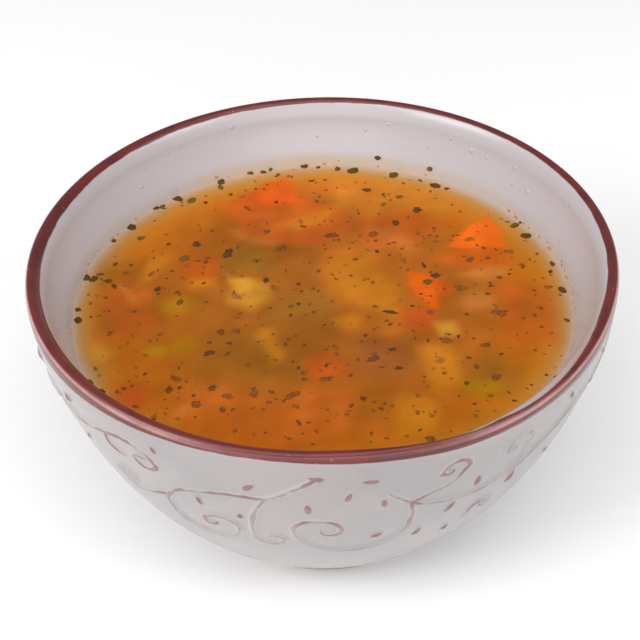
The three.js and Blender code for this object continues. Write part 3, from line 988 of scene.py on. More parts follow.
# Sunk pieces, deepest first: (colour, depth in mm, corners in mm from the bowl's middle).
SUNK = [
    (MURKY_ORANGE, 3.4, [(-2, 30), (26, 32), (30, 10), (24, -12), (6, -14), (0, 6)]),
    (MURKY_GOLD, 4.5, [(2, 60), (32, 54), (42, 42), (28, 36), (6, 38)]),
    (MURKY_BROWN, 5, [(-60, 20), (-44, 20), (-40, -8), (-58, -10)]),
    (BEAN_SKIN, 4, [(8, -14), (20, -15), (22, -27), (9, -29)]),
    (COOKED_CARROT, 4, [(46, 7), (60, 6), (60, -19), (46, -17)]),
    (COOKED_CARROT, 4, [(-58, 10), (-46, 8), (-42, -8), (-56, -12)]),
    (COOKED_CARROT, 6.5, [(-38, -30), (-20, -32), (-12, -40), (-12, -58), (-34, -52)]),
    (COURGETTE, 8, [(-34, -14), (-20, -8), (-6, -16), (-8, -32), (-32, -28)]),
    (COURGETTE, 5, [(-14, 4), (2, 6), (4, -6), (-14, -8)]),
    (COOKED_CARROT, 2.6, [(-26, 42), (-22, 32), (-12, 26), (2, 26), (10, 34), (6, 44)]),
    (COOKED_CARROT, 3, [(8, 38), (24, 42), (34, 36), (28, 26), (14, 24)]),
    (PASTA, 3, [(-12, 35), (-2, 42), (4, 44), (2, 37), (-8, 33)]),
    (PALE_ROOT, 3, [(-25, 34), (-22, 34), (-13, 27), (-14, 25.5), (-22, 29)]),
    (PASTA, 4, [(3, 17), (10, 20), (20, 8), (21, -5), (13, -4), (4, 4)]),
    (COOKED_CARROT, 5.5, [(-12, -32), (6, -32), (7, -48), (-6, -57), (-14, -50)]),
    (COURGETTE, 4.6, [(34, -38), (46, -36), (50, -28), (42, -22), (34, -24)]),
    (PASTA, 3, [(24, -18), (33, -18), (34, -32), (27, -36)]),
    (PASTA, 2.6, [(-46, 24), (-41, 23), (-42, 16), (-48, 12), (-49, 17)]),
    (LEAF_GREEN, 3, [(-42, 4), (-36, 5), (-34, 0), (-38, -3), (-43, -1)]),
    (LEAF_GREEN, 2.8, [(34, -31), (41, -31), (43, -35), (38, -38.5), (34, -37)]),
    (LEAF_GREEN, 3.2, [(-39, -12.5), (-33, -12), (-32, -17), (-38, -18)]),
    (COURGETTE, 3.2, [(-26, 24), (-21, 28), (-15, 24), (-12, 15), (-21, 13), (-27, 17)]),
    (PALE_ROOT, 4.2, [(10, 34), (15, 35), (22, 30), (25, 24), (23, 21), (18, 27)]),
    (SHADED_CARROT_SIDE, 4.2, [(-38, 19), (-30, 21), (-27, 15), (-30, 10), (-37, 11)]),
    (PASTA, 2.8, [(-36, 12), (-29, 13), (-28, 8), (-34, 7)]),
    (SHADED_CARROT_SIDE, 2.2, [(-29, 47), (-20, 52), (-4, 50), (0, 44), (-26, 42)]),
    (TOMATO, 3.4, [(21, -2), (29, -3), (29, -11), (23, -13), (20, -8)]),
    (TOMATO, 3.4, [(-53, -29), (-46, -29), (-42, -34), (-45, -40), (-53, -37)]),
    (PASTA, 2.8, [(16, -39), (22, -36), (27, -38), (27, -50), (17, -51)]),
    (PASTA, 2.4, [(-17, -10), (-13, -9), (-10, -21), (-13, -24), (-16, -19)]),
    (PASTA, 2.4, [(2, -6), (7, -4), (10, -7), (8, -11), (2, -10)]),
    (PALE_ROOT, 2.4, [(-53.5, 9), (-51.5, 9), (-49, 2.5), (-50.5, 2)]),
    (PALE_ROOT, 3.2, [(37, 2), (42, 4.5), (45.5, 3), (44, -4), (38, -5)]),
    (PALE_ROOT, 2.6, [(-39, -43), (-34, -38), (-32, -39), (-37, -45)]),
    (PALE_ROOT, 2.4, [(48.6, 16), (40, 12.8), (38, 9.5), (44, 8), (49, 10)]),
    (POTATO, 1.8, [(-59.5, -15), (-55.5, -14), (-53.5, -17), (-55.5, -20.5), (-59, -20)]),
    (LEAF_GREEN, 1.6, [(-46, -15.5), (-42, -14), (-39, -16), (-41, -20), (-45, -20)]),
    (POTATO, 2, [(28.5, -9), (33, -8.5), (35, -13), (30, -16)]),
    (POTATO, 2.6, [(-25, 13.4), (-18, 11), (-13, 7), (-13.5, 2), (-19, -2), (-25, 3)]),
    (POTATO, 1.6, [(-24.6, 13), (-19, 11), (-19, 6), (-24, 6)]),
    (TOMATO, 3.8, [(0, -19), (3, -20), (6.5, -29), (-4, -30), (-5, -24)]),
    (DEEP_CARROT, 2.8, [(28, 17), (36, 24), (50, 26), (51, 14), (42, 13)]),
    (CARROT, 1, [(47.8, 37), (50, 32), (50.6, 22.5), (42, 22), (35, 23), (41, 32)]),
    (SHADED_CARROT_SIDE, 2.2, [(23, 13), (33, 9), (34, 4), (29, -4), (23, 3)]),
    (CARROT, 1.5, [(23, 13.6), (28, 12), (31, 6), (30, -3), (27, -2), (23.4, 6)]),
    (CARROT_TIP, 1.6, [(-10, 60.5), (-6.5, 53), (-6.5, 46), (-17, 46), (-21, 51)]),
]

# What the broth itself shows: (distance from the wall in mm, colour).
BROTH_TINTS = [
    (0, (203, 178, 160)), (1, (200, 159, 120)), (2.3, (200, 141, 72)), (5.5, (203, 124, 36)),
    (11.5, (192, 106, 27)), (20, (174, 97, 30)), (34, (163, 94, 33)), (66, (157, 92, 35)),
]
LIGHT_ON_BROTH = 1.15     # how much brighter than its base colour lit broth shows
SHEEN = 0.008             # what the wet surface's own sheen adds
MURK = [(26, 5, 0.07), (9, 8, 0.045), (4, 9, 0.02)]     # (size in mm, seed, strength)
DRIFT = 0.8               # how far, in mm, the outlines of sunk pieces wander
MARGIN = 9                # width in mm of the thin, pale broth along the wall
MARGIN_PALE = 0.12        # how much it is drawn out all round
MARGIN_BEHIND = 0.4       # and how much more at the back
# Painted shade of the front lip on the broth:
FRONT_SHADE = 0.045       # how much darker the broth is just behind the front lip


def waves(x, y, size, seed):
    """Smooth unevenness between about -1 and 1, its swells about size mm across."""
    draw = np.random.default_rng(seed)
    total = np.zeros_like(x)
    for _ in range(9):
        way = draw.uniform(0, 2 * math.pi)
        pitch = 2 * math.pi / (size * draw.uniform(0.8, 1.9))
        total += np.sin(pitch * (x * math.cos(way) + y * math.sin(way)) + draw.uniform(0, 6.28))
    return total / 4.5


def outside_by(x, y, corners, soft):
    """How far outside a convex outline each place is, its corners rounded by its softness."""
    ring = np.array(corners, float)
    middle = ring.mean(0)
    total = np.zeros_like(x)
    for a, b in zip(ring, np.roll(ring, -1, axis=0)):
        out = np.array([b[1] - a[1], a[0] - b[0]])
        out /= np.hypot(*out)
        if out @ (middle - a) > 0:
            out = -out
        far = (x - a[0]) * out[0] + (y - a[1]) * out[1]
        total += np.exp(np.clip(far / (soft * 0.35), -40, 40))
    return np.log(total) * soft * 0.35


def broth_tint(x, y, edge, broth):
    """Shown colour, 0 to 1, of the cloudy broth and what is sunk in it. Places in mm."""
    radius = np.hypot(x, y)
    toward_right_back = np.maximum((x + y) / math.sqrt(2) / np.maximum(radius, 1), 0)
    from_wall = np.maximum(edge - radius - 0.5 * toward_right_back ** 4, 0)
    behind = np.maximum(y / np.maximum(radius, 1), 0) ** 2
    drawn_out = (MARGIN_PALE + MARGIN_BEHIND * behind) * np.exp(-(from_wall / MARGIN) ** 2)
    from_wall = from_wall * (1 - drawn_out)
    places, tints = zip(*BROTH_TINTS)
    tints = np.array(tints) / 255
    murk = sum(waves(x, y, size, seed) * strength for size, seed, strength in MURK)
    shown = np.stack([np.interp(from_wall * (1 + murk * 2), places, tints[:, i])
                      for i in range(3)], axis=-1)
    deep = np.clip(from_wall / 12, 0, 1)
    drift_x, drift_y = (waves(x, y, 9, seed) * DRIFT for seed in (11, 12))
    for colour_255, depth, corners in SUNK:
        soft = 0.35 + depth * broth.blur
        far = outside_by(x + drift_x, y + drift_y, corners, soft)
        cover = np.clip(0.5 - far / (2 * soft), 0, 1)
        cover = cover * cover * (3 - 2 * cover)
        clear = math.exp(-depth * MM / broth.cloud)
        fade = (cover * clear)[..., None]
        shown = shown * (1 - fade) + np.array(colour_255) / 255 * fade
    # painted shade: the broth just behind the front lip is drawn darker, as if in its shadow
    front_lip_shadow = np.clip((-y - 34) / 14, 0, 1)
    return shown * (1 + murk * deep - front_lip_shadow * FRONT_SHADE)[..., None]


def broth_profile(sizes, broth):
    """Half outline of the broth, from the middle of its underside up to its surface."""
    side = inner_wall(sizes, broth, 40, -broth.overlap)
    side = [p for p in side if p[1] < broth.level]
    floor = side[0][1] - sizes.floor_dish - broth.overlap
    edge = inner_radius(sizes, broth, broth.level) + broth.overlap
    rings = int(edge / broth.ring)
    radii = [edge * (1 - i / rings) for i in range(rings + 1)]
    surface = [(r, broth.level + rise_at(edge - broth.overlap - r, broth)) for r in radii]
    return [(0, floor), (side[0][0] * 0.6, floor), *side, *surface]


def rise_at(from_wall, broth):
    """How high the broth stands above its level at a distance from the wall."""
    return broth.climb * math.exp(-max(from_wall, 0) / broth.climb_width)


def broth_shade():
    """Cloudy broth: its painted colour with fine grain and a slightly uneven surface."""
    made, net = material("broth")
    place = object_place(net)
    seen = net.add("ShaderNodeAttribute", {"attribute_name": "seen"}).outputs["Color"]
    grain = net.noise(place, 900, 2)
    tint = net.blend((grain - 0.5) * 0.16 + 0.08, seen, srgb(96, 48, 16))
    swell = net.noise(place, 45, 2) + net.noise(place, 380, 2) * 0.15
    finish_surface(net, {
        "Base Color": tint, "Roughness": 0.14, "IOR": 1.34, "Specular IOR Level": 0.2,
        "Normal": bump(net, swell, 0.35 * MM, 0.5)})
    return made


class MINESTRONE_OT_broth(bpy.types.Operator):
    """Pour the cloudy broth with the vegetables sunk in it"""

    bl_idname = "minestrone.broth"
    bl_label = "Broth"

    def execute(self, context):
        settings = context.scene.minestrone
        sizes, broth = settings.bowl, settings.broth
        piece = turned("minestrone_broth", broth_profile(sizes, broth), broth.turns,
                       broth_shade())
        x, y, _ = corners_of(piece.data).T / MM
        edge = broth_edge(sizes, broth)
        shown = broth_tint(x.astype(float), y.astype(float), edge, broth)
        paint(piece.data, "seen", np.maximum(linear(shown) - SHEEN, 0.002) / LIGHT_ON_BROTH)
        hand_over(piece, "broth", "broth")
        return {"FINISHED"}


# ---------------------------------------------------------------- herbs afloat

# The flakes that stand out most: (x, y, length, width in mm, turn in degrees).
LARGE_FLAKES = [
    (-25.5, 23.5, 5, 2.6, 75), (-37.5, 21.5, 3.6, 2.4, 45), (3.2, 30.1, 4.6, 2.2, 5),
    (14.5, 30, 3, 2.3, 20), (27.6, 41, 3.7, 2.6, 60), (-11, 24.6, 4.2, 2.6, 30),
    (21.1, 35, 2.7, 2.1, 120), (-15, 32.7, 2.6, 1.9, 40), (41.2, 26.5, 2.8, 2, 10),
    (40.2, 17.2, 2.8, 2.1, 60), (51, 20.2, 2.5, 1.8, 0), (36.4, 5.1, 3.6, 2.5, 130),
    (28, 8, 3, 2.5, 20), (45.2, -5.6, 4.4, 2.6, 150), (17.6, -4.2, 4.2, 1.4, 170),
    (31.1, -16.4, 3.8, 2, 160), (40.7, -18.5, 3.2, 1.6, 10), (42, -30.7, 2.8, 2.2, 40),
    (12.4, -22.6, 3.6, 2.3, 30), (-8.2, -35.1, 4.5, 2.2, 35), (0.4, -29.6, 3.2, 1.8, 15),
    (-17.4, -34.2, 2.9, 2.2, 70), (-24, -34.7, 2.9, 2.1, 150), (-31.5, -37.4, 2.9, 2.4, 0),
    (-29, -18.4, 2.9, 1.9, 20), (-43.9, 8.2, 2.6, 1.9, 40), (-22.7, 4, 3.2, 1.6, 155),
    (-13, 7.4, 2.9, 1.8, 140), (-36.8, -27.8, 3.2, 1.8, 140), (24.5, -51.7, 2.6, 2, 160),
]
FLAKE_SIDES = 6
OUTLINE = 24              # points round a flake's finished outline
SPREAD = 1.26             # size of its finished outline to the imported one's
FLAKE_ROWS = ((1, 0.28), (0.93, 0.5), (0.5, 0.6))    # (share of its outline, of its height)


def drawer(seed):
    """Whole-number random draws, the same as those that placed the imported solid's flakes."""
    state = seed
    while True:
        state = (state * 48271) % 2147483647
        yield state / 2147483647


def between(low, high, t):
    return low + (high - low) * t


def flake_places(draw, reach, total):
    """Every flake as (x, y, length, width, turn), the strewn ones clear of earlier ones."""
    places = list(LARGE_FLAKES)
    while len(places) < total:
        far = (reach - 2.5) * math.sqrt(next(draw))
        way = 2 * math.pi * next(draw)
        size = between(1.2, 2.6, next(draw) ** 1.6)
        width = size * between(0.45, 0.9, next(draw))
        turn = 180 * next(draw)
        x, y = far * math.cos(way), far * math.sin(way)
        if all(math.hypot(p[0] - x, p[1] - y) > (p[2] + size) / 2 + 0.5 for p in places):
            places.append((x, y, size, width, turn))
    return places


def flake_outline(draw, wild, size, width):
    """A torn outline in mm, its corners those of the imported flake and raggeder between."""
    corners = []
    for i in range(FLAKE_SIDES):
        way = 2 * math.pi * (i + 0.5 * (next(draw) - 0.5)) / FLAKE_SIDES
        torn = between(0.72, 1.05, next(draw)) * SPREAD
        corners.append((size / 2 * torn * math.cos(way), width / 2 * torn * math.sin(way)))
    ring = []
    each = OUTLINE // FLAKE_SIDES
    for (ax, ay), (bx, by) in zip(corners, corners[1:] + corners[:1]):
        bay = wild.uniform(0.7, 1.04)
        for k in range(each):
            t = k / each
            pull = (1 - 4 * t * (1 - t) * (1 - bay)) * wild.uniform(0.93, 1.05)
            ring.append((between(ax, bx, t) * pull, between(ay, by, t) * pull))
    return ring


def flake_mesh(place, draw, wild, herbs, level):
    """One thin, slightly warped flake, rooted in the broth: its points and its faces."""
    x, y, size, width, turn = place
    ring = flake_outline(draw, wild, size, width)
    roll = math.radians(between(-5, 5, next(draw)))
    pitch = math.radians(between(-3, 3, next(draw)))
    tilt = (Matrix.Rotation(math.radians(turn), 3, "Z") @ Matrix.Rotation(pitch, 3, "Y")
            @ Matrix.Rotation(roll, 3, "X"))
    above, below = herbs.above / MM, herbs.below / MM
    phase, cup = wild.uniform(0, 6.28), wild.uniform(-0.4, 0.6)
    rings = []
    for shrink, lift in FLAKE_ROWS:
        row = []
        for i, (px, py) in enumerate(ring):
            wave = 0.16 * math.sin(2 * math.tau * i / OUTLINE + phase)
            lifted = above * (lift + wave * shrink + cup * (shrink - 0.5) * 0.4)
            row.append(Vector((px * shrink, py * shrink, lifted)))
        rings.append(row)
    rings.append([Vector((px * 0.96, py * 0.96, -below)) for px, py in ring])
    points = [p for row in rings for p in row]
    points += [Vector((0, 0, above * 0.55)), Vector((0, 0, -below))]
    at = Vector((x, y, level / MM))
    points = [(tilt @ p + at) * MM for p in points]
    return points, flake_faces(len(ring))


def flake_faces(n):
    """Faces of a flake: lower ring to outer, rim and inner ring, closed at both middles."""
    order = [3, 0, 1, 2]
    faces = []
    for low, high in zip(order, order[1:]):
        for i in range(n):
            j = (i + 1) % n
            faces.append((low * n + i, low * n + j, high * n + j, high * n + i))
    top, bottom = 4 * n, 4 * n + 1
    for i in range(n):
        j = (i + 1) % n
        faces.append((2 * n + i, 2 * n + j, top))
        faces.append((3 * n + j, 3 * n + i, bottom))
    return faces


def herb_shade():
    """Dried leaf: its own colour, with darker veins and a dull sheen."""
    made, net = material("dried_herb")
    place = object_place(net)
    own = net.add("ShaderNodeAttribute", {"attribute_name": "leaf"}).outputs["Color"]
    veins = net.noise(place, 1500, 3).step(0.4, 0.62)
    tint = net.blend(veins * 0.35, own, srgb(44, 28, 18))
    finish_surface(net, {
        "Base Color": tint, "Roughness": 0.5, "IOR": 1.4, "Specular IOR Level": 0.12,
        "Normal": bump(net, net.noise(place, 1100, 3), 0.08 * MM, 0.7)})
    return made


def leaf_tints(places, fades, edge, broth, colours, greens):
    """Each flake's linear colour: its own leaf, seen through some of the broth over it."""
    x, y = np.array(places, float)[:, :2].T
    under = linear(broth_tint(x, y, edge, broth)) / LIGHT_ON_BROTH
    dark = np.array(colours.herb_dark)
    green = np.array(colours.herb_green)
    own = dark + (green - dark) * np.asarray(greens)[:, None]
    fades = np.asarray(fades)[:, None]
    return own * (1 - fades) + under * fades


class MINESTRONE_OT_herbs(bpy.types.Operator):
    """Strew the flakes of dried herb over the broth"""

    bl_idname = "minestrone.herbs"
    bl_label = "Herb flakes"

    def execute(self, context):
        settings = context.scene.minestrone
        sizes, broth, herbs = settings.bowl, settings.broth, settings.herbs
        edge = broth_edge(sizes, broth)
        draw = drawer(herbs.seed)
        wild = np.random.default_rng(herbs.seed)
        places = flake_places(draw, edge - 0.3, len(LARGE_FLAKES) + herbs.strewn)
        fades = wild.uniform(0.02, 0.66, len(places)) ** 1.25
        greens = np.where(wild.uniform(0, 1, len(places)) > 0.85, 0.7, 0.05)
        tints = leaf_tints(places, fades, edge, broth, settings.colours, greens)
        points, faces, leaf = [], [], []
        for place, tint in zip(places, tints):
            more, sides = flake_mesh(place, draw, wild, herbs, broth.level)
            faces += [tuple(len(points) + i for i in side) for side in sides]
            points += more
            leaf += [tint] * len(more)
        mesh = plain_mesh("herb_flakes", points, faces=faces)
        face_out(mesh)
        mesh.shade_smooth()
        paint(mesh, "leaf", leaf)
        mesh.materials.append(herb_shade())
        piece = bpy.data.objects.new("herb_flakes", mesh)
        context.scene.collection.objects.link(piece)
        hand_over(piece, "broth", "broth")
        return {"FINISHED"}


# ---------------------------------------------------------------- crumbs, oil and droplets

# Crumbs caught at the edge of the broth: (x, y, size in mm, how green).
EDGE_CRUMBS = [
    (-52, 36, 2.6, 0.1), (-40, 49, 2.9, 0.1), (-36, 48, 2.4, 0.9), (-28, 57, 2.6, 0.2),
    (-28, 54, 1.9, 0.9), (-20, 62, 1.6, 0.5), (-14, 63, 1.5, 0.6), (-16, 61, 1.3, 0.1),
    (-4, 63.5, 2, 0.2), (0, 62.8, 1.3, 0.3), (5.5, 61.8, 1.8, 0.3), (10, 60.6, 3, 0.1),
    (21.5, 57.8, 2.7, 0.3), (33, 51.8, 2.6, 0.1), (36, 50, 1.4, 0.1), (53, 31.5, 2.2, 0.8),
    (55.5, 26.8, 2.4, 0.1), (61, 14, 1.8, 0.4), (62, 2.8, 2.3, 0.1), (-62, 13.4, 1.9, 0.2),
    (-60, 13.2, 2.2, 0.1), (-63, 0.5, 1.5, 0.2), (-62.5, -3.8, 2.2, 0.1), (-46, 45, 1.6, 0.1),
    (-44, 45.4, 1.7, 0.9), (-32, 46.8, 1.4, 0.1), (-57, 30, 1.3, 0.2), (-63, 14.6, 1.4, 0.1),
    (61.5, -9.5, 1.3, 0.9), (57, 34, 1.2, 0.7), (29, 54.5, 1.1, 0.7), (-54, -31, 2.2, 0.1),
    (-57, -28, 2.3, 0.8), (56, -31, 1.5, 0.4),
]

# Crumbs on the wall above: (degrees, height above the broth in mm, size in mm, how green).
WALL_CRUMBS = [(74.6, 3, 1.9, 0.2), (60.7, 2.8, 1.9, 0.9)]

# Droplets on the inner wall: (degrees, height and size in mm).
DROPLETS = [
    (38.3, 71.4, 1.9), (78.3, 69.8, 1.4), (56.9, 71.8, 1.1), (51.1, 70.4, 1.9),
    (46.5, 70.4, 1.1), (32.6, 67.7, 1.8), (37.5, 67.1, 1), (18.2, 73.4, 1.2),
    (72.6, 72, 1.2), (110.6, 73.2, 1.5), (137.5, 66.8, 1.4), (163.8, 69.8, 1.1),
    (151.8, 69.3, 1), (134.8, 70.7, 0.9), (124.4, 72.4, 0.9), (129.7, 72, 0.8),
    (127.8, 71.5, 0.8), (90.1, 67.7, 1.2), (15.7, 64.3, 1.2), (97, 71, 0.8), (62, 68, 0.8),
    (25, 69.5, 0.9), (8, 68, 1), (170, 72, 0.8), (145, 72.5, 0.9), (-12, 67, 1.1),
    (-35, 69, 1.3), (-70, 70, 0.9), (-110, 68, 1.2), (-150, 70.5, 1), (-168, 67, 0.9),
]


def strew_net(name, shade):
    """Sets a ball on each place, by its size and turn, and roughens the lot."""
    net, places, given = geometry_net(name, {"Rough": 1.0, "Grain": 1.0, "Fineness": 1})
    ball = net.add("GeometryNodeMeshIcoSphere", {}, {
        "Radius": 1.0, "Subdivisions": given["Fineness"]})
    turn = net.add("FunctionNodeEulerToRotation", {},
                   {"Euler": named(net, "turn", "FLOAT_VECTOR")})
    set_out = net.add("GeometryNodeInstanceOnPoints", {}, {
        "Points": places, "Instance": ball.outputs["Mesh"], "Rotation": turn.outputs[0],
        "Scale": named(net, "size", "FLOAT_VECTOR")})
    real = net.add("GeometryNodeRealizeInstances", {}, {"Geometry": set_out.outputs[0]})
    at = net.add("GeometryNodeInputPosition").outputs[0]
    lumps = net.add("ShaderNodeTexNoise", {}, {"Vector": at, "Scale": given["Grain"],
                                               "Detail": 2.0})
    red, green, blue = net.split(lumps.outputs["Color"])
    push = given["Rough"] * 2
    moved = net.add("GeometryNodeSetPosition", {}, {
        "Geometry": real.outputs[0],
        "Offset": net.join((red - 0.5) * push, (green - 0.5) * push, (blue - 0.5) * push)})
    finish_geometry(net, moved.outputs[0], shade)
    return net


def wall_spot(sizes, broth, degrees, height):
    """A place on the inner wall, in metres, and the turn that lays a piece flat on it."""
    radius = inner_radius(sizes, broth, height * MM)
    lower = inner_radius(sizes, broth, (height - 0.5) * MM)
    lean = math.atan2(radius - lower, 0.5 * MM)
    way = math.radians(degrees)
    place = (radius * math.cos(way), radius * math.sin(way), height * MM)
    return place, (0, -(math.pi / 2 - lean), way)


def strewn(name, shade, points, size, turn, rough, grain, fineness):
    """A joined mesh of small lumps at the given places."""
    seeds = plain_mesh(name + "_places", points, values={"size": size, "turn": turn})
    return grow(name, seeds, strew_net(name, shade),
                {"Rough": rough, "Grain": grain, "Fineness": fineness})


BATCHES = 40              # parts in which the points of a strewn mesh are coloured


def own_tint(piece, points, tints, name):
    """Gives every point of a strewn mesh the colour of the place that it belongs to."""
    places = np.array(points, np.float32)
    near = np.concatenate([
        np.argmin(((part[:, None] - places[None]) ** 2).sum(-1), axis=1)
        for part in np.array_split(corners_of(piece.data), BATCHES)])
    paint(piece.data, name, np.asarray(tints)[near])


CRUMB_PUSH = 1.2          # how far, in mm, the broth pushes a crumb towards the wall
CRUMB_GAP = 0.25          # least distance in mm from a crumb's middle to the wall
CRUMB_THICK = 0.36 * MM


def crumb_places(sizes, broth):
    """Places in metres of the crumbs at the edge and on the wall, with sizes and turns."""
    draw = np.random.default_rng(41)
    edge = broth_edge(sizes, broth)
    points, size, turn, greens = [], [], [], []
    for x, y, long, green in EDGE_CRUMBS:
        far = min(math.hypot(x, y) + CRUMB_PUSH, edge - CRUMB_GAP)
        way = math.atan2(y, x)
        lift = rise_at((edge - far) * MM, broth)
        points.append((far * math.cos(way) * MM, far * math.sin(way) * MM,
                       broth.level + lift))
        size.append([long * MM * 0.62, long * MM * draw.uniform(0.35, 0.5), CRUMB_THICK])
        turn.append((0, 0, draw.uniform(0, math.pi)))
        greens.append(green)
    for degrees, up, long, green in WALL_CRUMBS:
        spot, lean = wall_spot(sizes, broth, degrees, broth.level / MM + up)
        points.append(spot)
        size.append([long * MM / 2 * 0.7, long * MM / 2, 0.4 * MM])
        turn.append(lean)
        greens.append(green)
    return points, size, turn, greens


class MINESTRONE_OT_crumbs(bpy.types.Operator):
    """Add the crumbs at the broth's edge and the finest specks of herb"""

    bl_idname = "minestrone.crumbs"
    bl_label = "Crumbs and specks"

    def execute(self, context):
        settings = context.scene.minestrone
        sizes, broth, herbs = settings.bowl, settings.broth, settings.herbs
        colours = settings.colours
        shade = bpy.data.materials["dried_herb"]
        edge = broth_edge(sizes, broth)
        points, size, turn, greens = crumb_places(sizes, broth)
        crumbs = strewn("edge_crumbs", shade, points, size, turn, 0.55 * MM, 900.0, 3)
        dark = np.array(colours.herb_dark) * 0.9
        green = np.array(colours.herb_green)
        mixed = [dark + (green - dark) * min(g + 0.2, 1) for g in greens]
        own_tint(crumbs, points, mixed, "leaf")
        hand_over(crumbs, "broth")

        draw = np.random.default_rng(herbs.seed + 1)
        far = (edge - 1.5) * np.sqrt(draw.uniform(0, 1, herbs.specks))
        way = draw.uniform(0, 2 * math.pi, herbs.specks)
        x, y = far * np.cos(way), far * np.sin(way)
        long = draw.uniform(0.3, 0.8, herbs.specks)
        points = [(a * MM, b * MM, broth.level + 0.02 * MM) for a, b in zip(x, y)]
        size = [(s * MM, s * MM * draw.uniform(0.35, 0.9), 0.1 * MM) for s in long]
        turn = [(0, 0, draw.uniform(0, math.pi)) for _ in long]
        specks = strewn("herb_specks", shade, points, size, turn, 0.2 * MM, 1700.0, 2)
        fades = draw.uniform(0.1, 0.7, herbs.specks)
        greens = np.where(draw.uniform(0, 1, herbs.specks) > 0.8, 0.6, 0.05)
        tints = leaf_tints(list(zip(x, y)), fades, edge, broth, colours, greens)
        own_tint(specks, points, tints, "leaf")
        hand_over(specks, "broth")
        return {"FINISHED"}


def wet_shade(name, tint, rough):
    """A small glossy droplet."""
    made, net = material(name)
    place = object_place(net)
    varied = net.blend(net.noise(place, 300, 2).step(0.3, 0.7), tint,
                       tuple(c * 0.86 for c in tint))
    finish_surface(net, {"Base Color": varied, "Roughness": rough, "IOR": 1.34,
                         "Specular IOR Level": 0.5, "Coat Weight": 0.5})
    return made


OIL_LOWEST = 0.25         # height in mm above the level at which the oil begins
OIL_SPREAD = 1.1          # mean height in mm of the dots above that
OIL_REACH = 4             # their greatest height in mm above that


def oil_places(sizes, broth, total):
    """Droplets of oil along the edge, most of them at the left, the back and the right."""
    draw = np.random.default_rng(77)
    points, size, turn = [], [], []
    while len(points) < total:
        degrees = draw.uniform(0, 360)
        crowded = 0.25 + 0.75 * max(0, math.cos(math.radians(2 * degrees))) ** 0.5
        if draw.uniform(0, 1) > crowded:
            continue
        up = draw.exponential(OIL_SPREAD)
        if up > OIL_REACH:
            continue
        spot, lean = wall_spot(sizes, broth, degrees, broth.level / MM + OIL_LOWEST + up)
        points.append(spot)
        long = draw.uniform(0.18, 0.5) * (1 if up < 1.4 else 0.6)
        along = draw.uniform(0.8, 2.6 if up < 0.6 else 1.3)
        size.append((long * 0.8 * MM, long * along * MM, 0.12 * MM))
        turn.append(lean)
    return points, size, turn


class MINESTRONE_OT_droplets(bpy.types.Operator):
    """Add the orange oil along the edge and the clear droplets on the wall"""

    bl_idname = "minestrone.droplets"
    bl_label = "Oil and droplets"

    def execute(self, context):
        settings = context.scene.minestrone
        sizes, broth = settings.bowl, settings.broth
        shade = wet_shade("orange_oil", tuple(settings.colours.oil), 0.2)
        points, size, turn = oil_places(sizes, broth, settings.herbs.oil_dots)
        oil = strewn("oil_dots", shade, points, size, turn, 0.06 * MM, 1400.0, 2)
        hand_over(oil, "broth")

        shade = wet_shade("clear_droplet", tuple(settings.colours.lining), 0.1)
        points, size, turn = [], [], []
        for degrees, height, long in DROPLETS:
            spot, lean = wall_spot(sizes, broth, degrees, height)
            points.append(spot)
            size.append((long * 0.42 * MM, long * 0.46 * MM, 0.16 * MM))
            turn.append(lean)
        drops = strewn("wall_droplets", shade, points, size, turn, 0.03 * MM, 500.0, 3)
        hand_over(drops, "broth")
        return {"FINISHED"}


# ---------------------------------------------------------------- stage

# Soft boxes: (name, place and target in m, width and height in m, watts).
SOFT_BOXES = [
    ("left_box", (-0.77, -0.41, 0.66), (0, 0, 0.06), (0.6, 0.36), 5.8),
    ("right_box", (0.77, -0.41, 0.66), (0, 0, 0.06), (0.5, 0.32), 3.1),
    ("top_box", (0.0, -0.4, 1.12), (0, 0, 0.06), (1.2, 0.8), 6.8),
    ("front_box", (0.0, -1.1, 0.45), (0, 0, 0.06), (1.3, 0.5), 3.2),
]


def add_camera(stage):
    """The photograph's camera: in front, looking down, slightly rolled."""
    aim = Vector((stage.aim_x, 0, stage.aim_z))
    back = Vector((0, -math.cos(stage.elevation), math.sin(stage.elevation)))
    right = Vector((1, 0, 0))
    up = back.cross(right)
    c, s = math.cos(stage.roll), math.sin(stage.roll)
    axes = Matrix((right * c - up * s, right * s + up * c, back)).transposed()
    data = bpy.data.cameras.new("camera")
    data.sensor_fit = "HORIZONTAL"
    data.angle = stage.view
    data.clip_start = 0.01
    camera = bpy.data.objects.new("camera", data)
    camera.matrix_world = Matrix.Translation(aim + back * stage.distance) @ axes.to_4x4()
    bpy.context.scene.collection.objects.link(camera)
    bpy.context.scene.camera = camera


def add_soft_box(name, place, target, size, watts):
    data = bpy.data.lights.new(name, "AREA")
    data.shape = "RECTANGLE"
    data.size, data.size_y = size
    data.energy = watts
    lamp = bpy.data.objects.new(name, data)
    lamp.location = place
    lamp.rotation_euler = (Vector(target) - Vector(place)).to_track_quat("-Z", "Y").to_euler()
    bpy.context.scene.collection.objects.link(lamp)


def add_world(strength):
    world = bpy.data.worlds.new("pale_room")
    world.use_nodes = True
    net = Net(world.node_tree)
    sky = net.add("ShaderNodeBackground", {}, {"Color": (1, 1, 1, 1), "Strength": strength})
    net.add("ShaderNodeOutputWorld", {}, {"Surface": sky.outputs[0]})
    bpy.context.scene.world = world


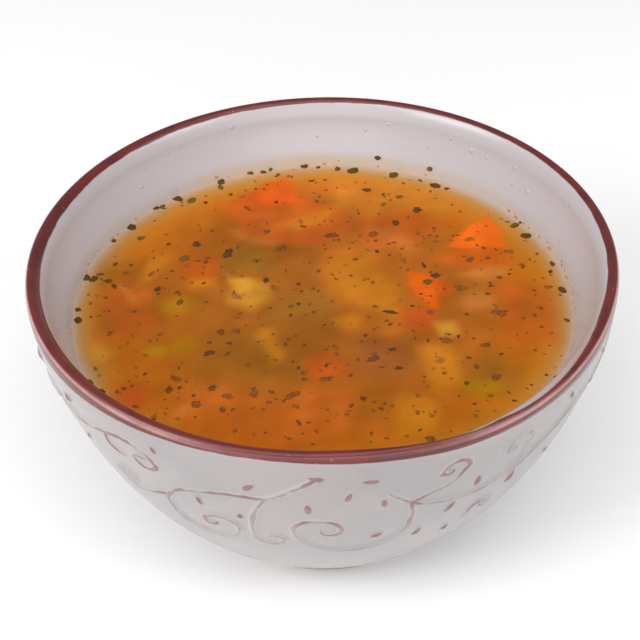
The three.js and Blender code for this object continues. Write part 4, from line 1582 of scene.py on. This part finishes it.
def add_floor(stage, tint):
    half = stage.floor_size / 2
    mesh = plain_mesh("floor", [(-half, -half, 0), (half, -half, 0), (half, half, 0),
                                (-half, half, 0)], faces=[(0, 1, 2, 3)])
    made, net = material("pale_floor")
    finish_surface(net, {"Base Color": (*tint, 1), "Roughness": 0.9,
                         "Specular IOR Level": 0.1})
    mesh.materials.append(made)
    floor = bpy.data.objects.new("floor", mesh)
    bpy.context.scene.collection.objects.link(floor)


class MINESTRONE_OT_stage(bpy.types.Operator):
    """Set up the floor, the soft light and the camera"""

    bl_idname = "minestrone.stage"
    bl_label = "Stage"

    def execute(self, context):
        settings = context.scene.minestrone
        context.scene.view_settings.view_transform = "Standard"
        add_camera(settings.stage)
        for box in SOFT_BOXES:
            add_soft_box(*box)
        add_world(settings.stage.world)
        add_floor(settings.stage, tuple(settings.colours.floor))
        return {"FINISHED"}


# ---------------------------------------------------------------- add-on


class MINESTRONE_PT_panel(bpy.types.Panel):
    """The bowl of minestrone's settings and steps"""

    bl_idname = "MINESTRONE_PT_panel"
    bl_label = "Bowl of minestrone"
    bl_space_type = "VIEW_3D"
    bl_region_type = "UI"
    bl_category = "Minestrone"

    def draw(self, context):
        settings = context.scene.minestrone
        for operator in OPERATORS:
            self.layout.operator(operator.bl_idname)
        for part in MinestroneSettings.__annotations__:
            box = self.layout.box()
            box.label(text=part.capitalize())
            group = getattr(settings, part)
            for name in type(group).__annotations__:
                box.prop(group, name)


OPERATORS = [MINESTRONE_OT_stage, MINESTRONE_OT_bowl, MINESTRONE_OT_scroll,
             MINESTRONE_OT_broth, MINESTRONE_OT_herbs, MINESTRONE_OT_crumbs,
             MINESTRONE_OT_droplets]
CLASSES = [BowlSettings, ScrollSettings, BrothSettings, HerbSettings, ColourSettings,
           StageSettings, MinestroneSettings, *OPERATORS, MINESTRONE_PT_panel]


def register():
    for made in CLASSES:
        bpy.utils.register_class(made)
    bpy.types.Scene.minestrone = PointerProperty(type=MinestroneSettings)


def unregister():
    del bpy.types.Scene.minestrone
    for made in reversed(CLASSES):
        bpy.utils.unregister_class(made)


def main():
    """Builds the stage and every piece."""
    register()
    for operator in OPERATORS:
        family, step = operator.bl_idname.split(".")
        getattr(getattr(bpy.ops, family), step)()


if __name__ == "__main__":
    main()
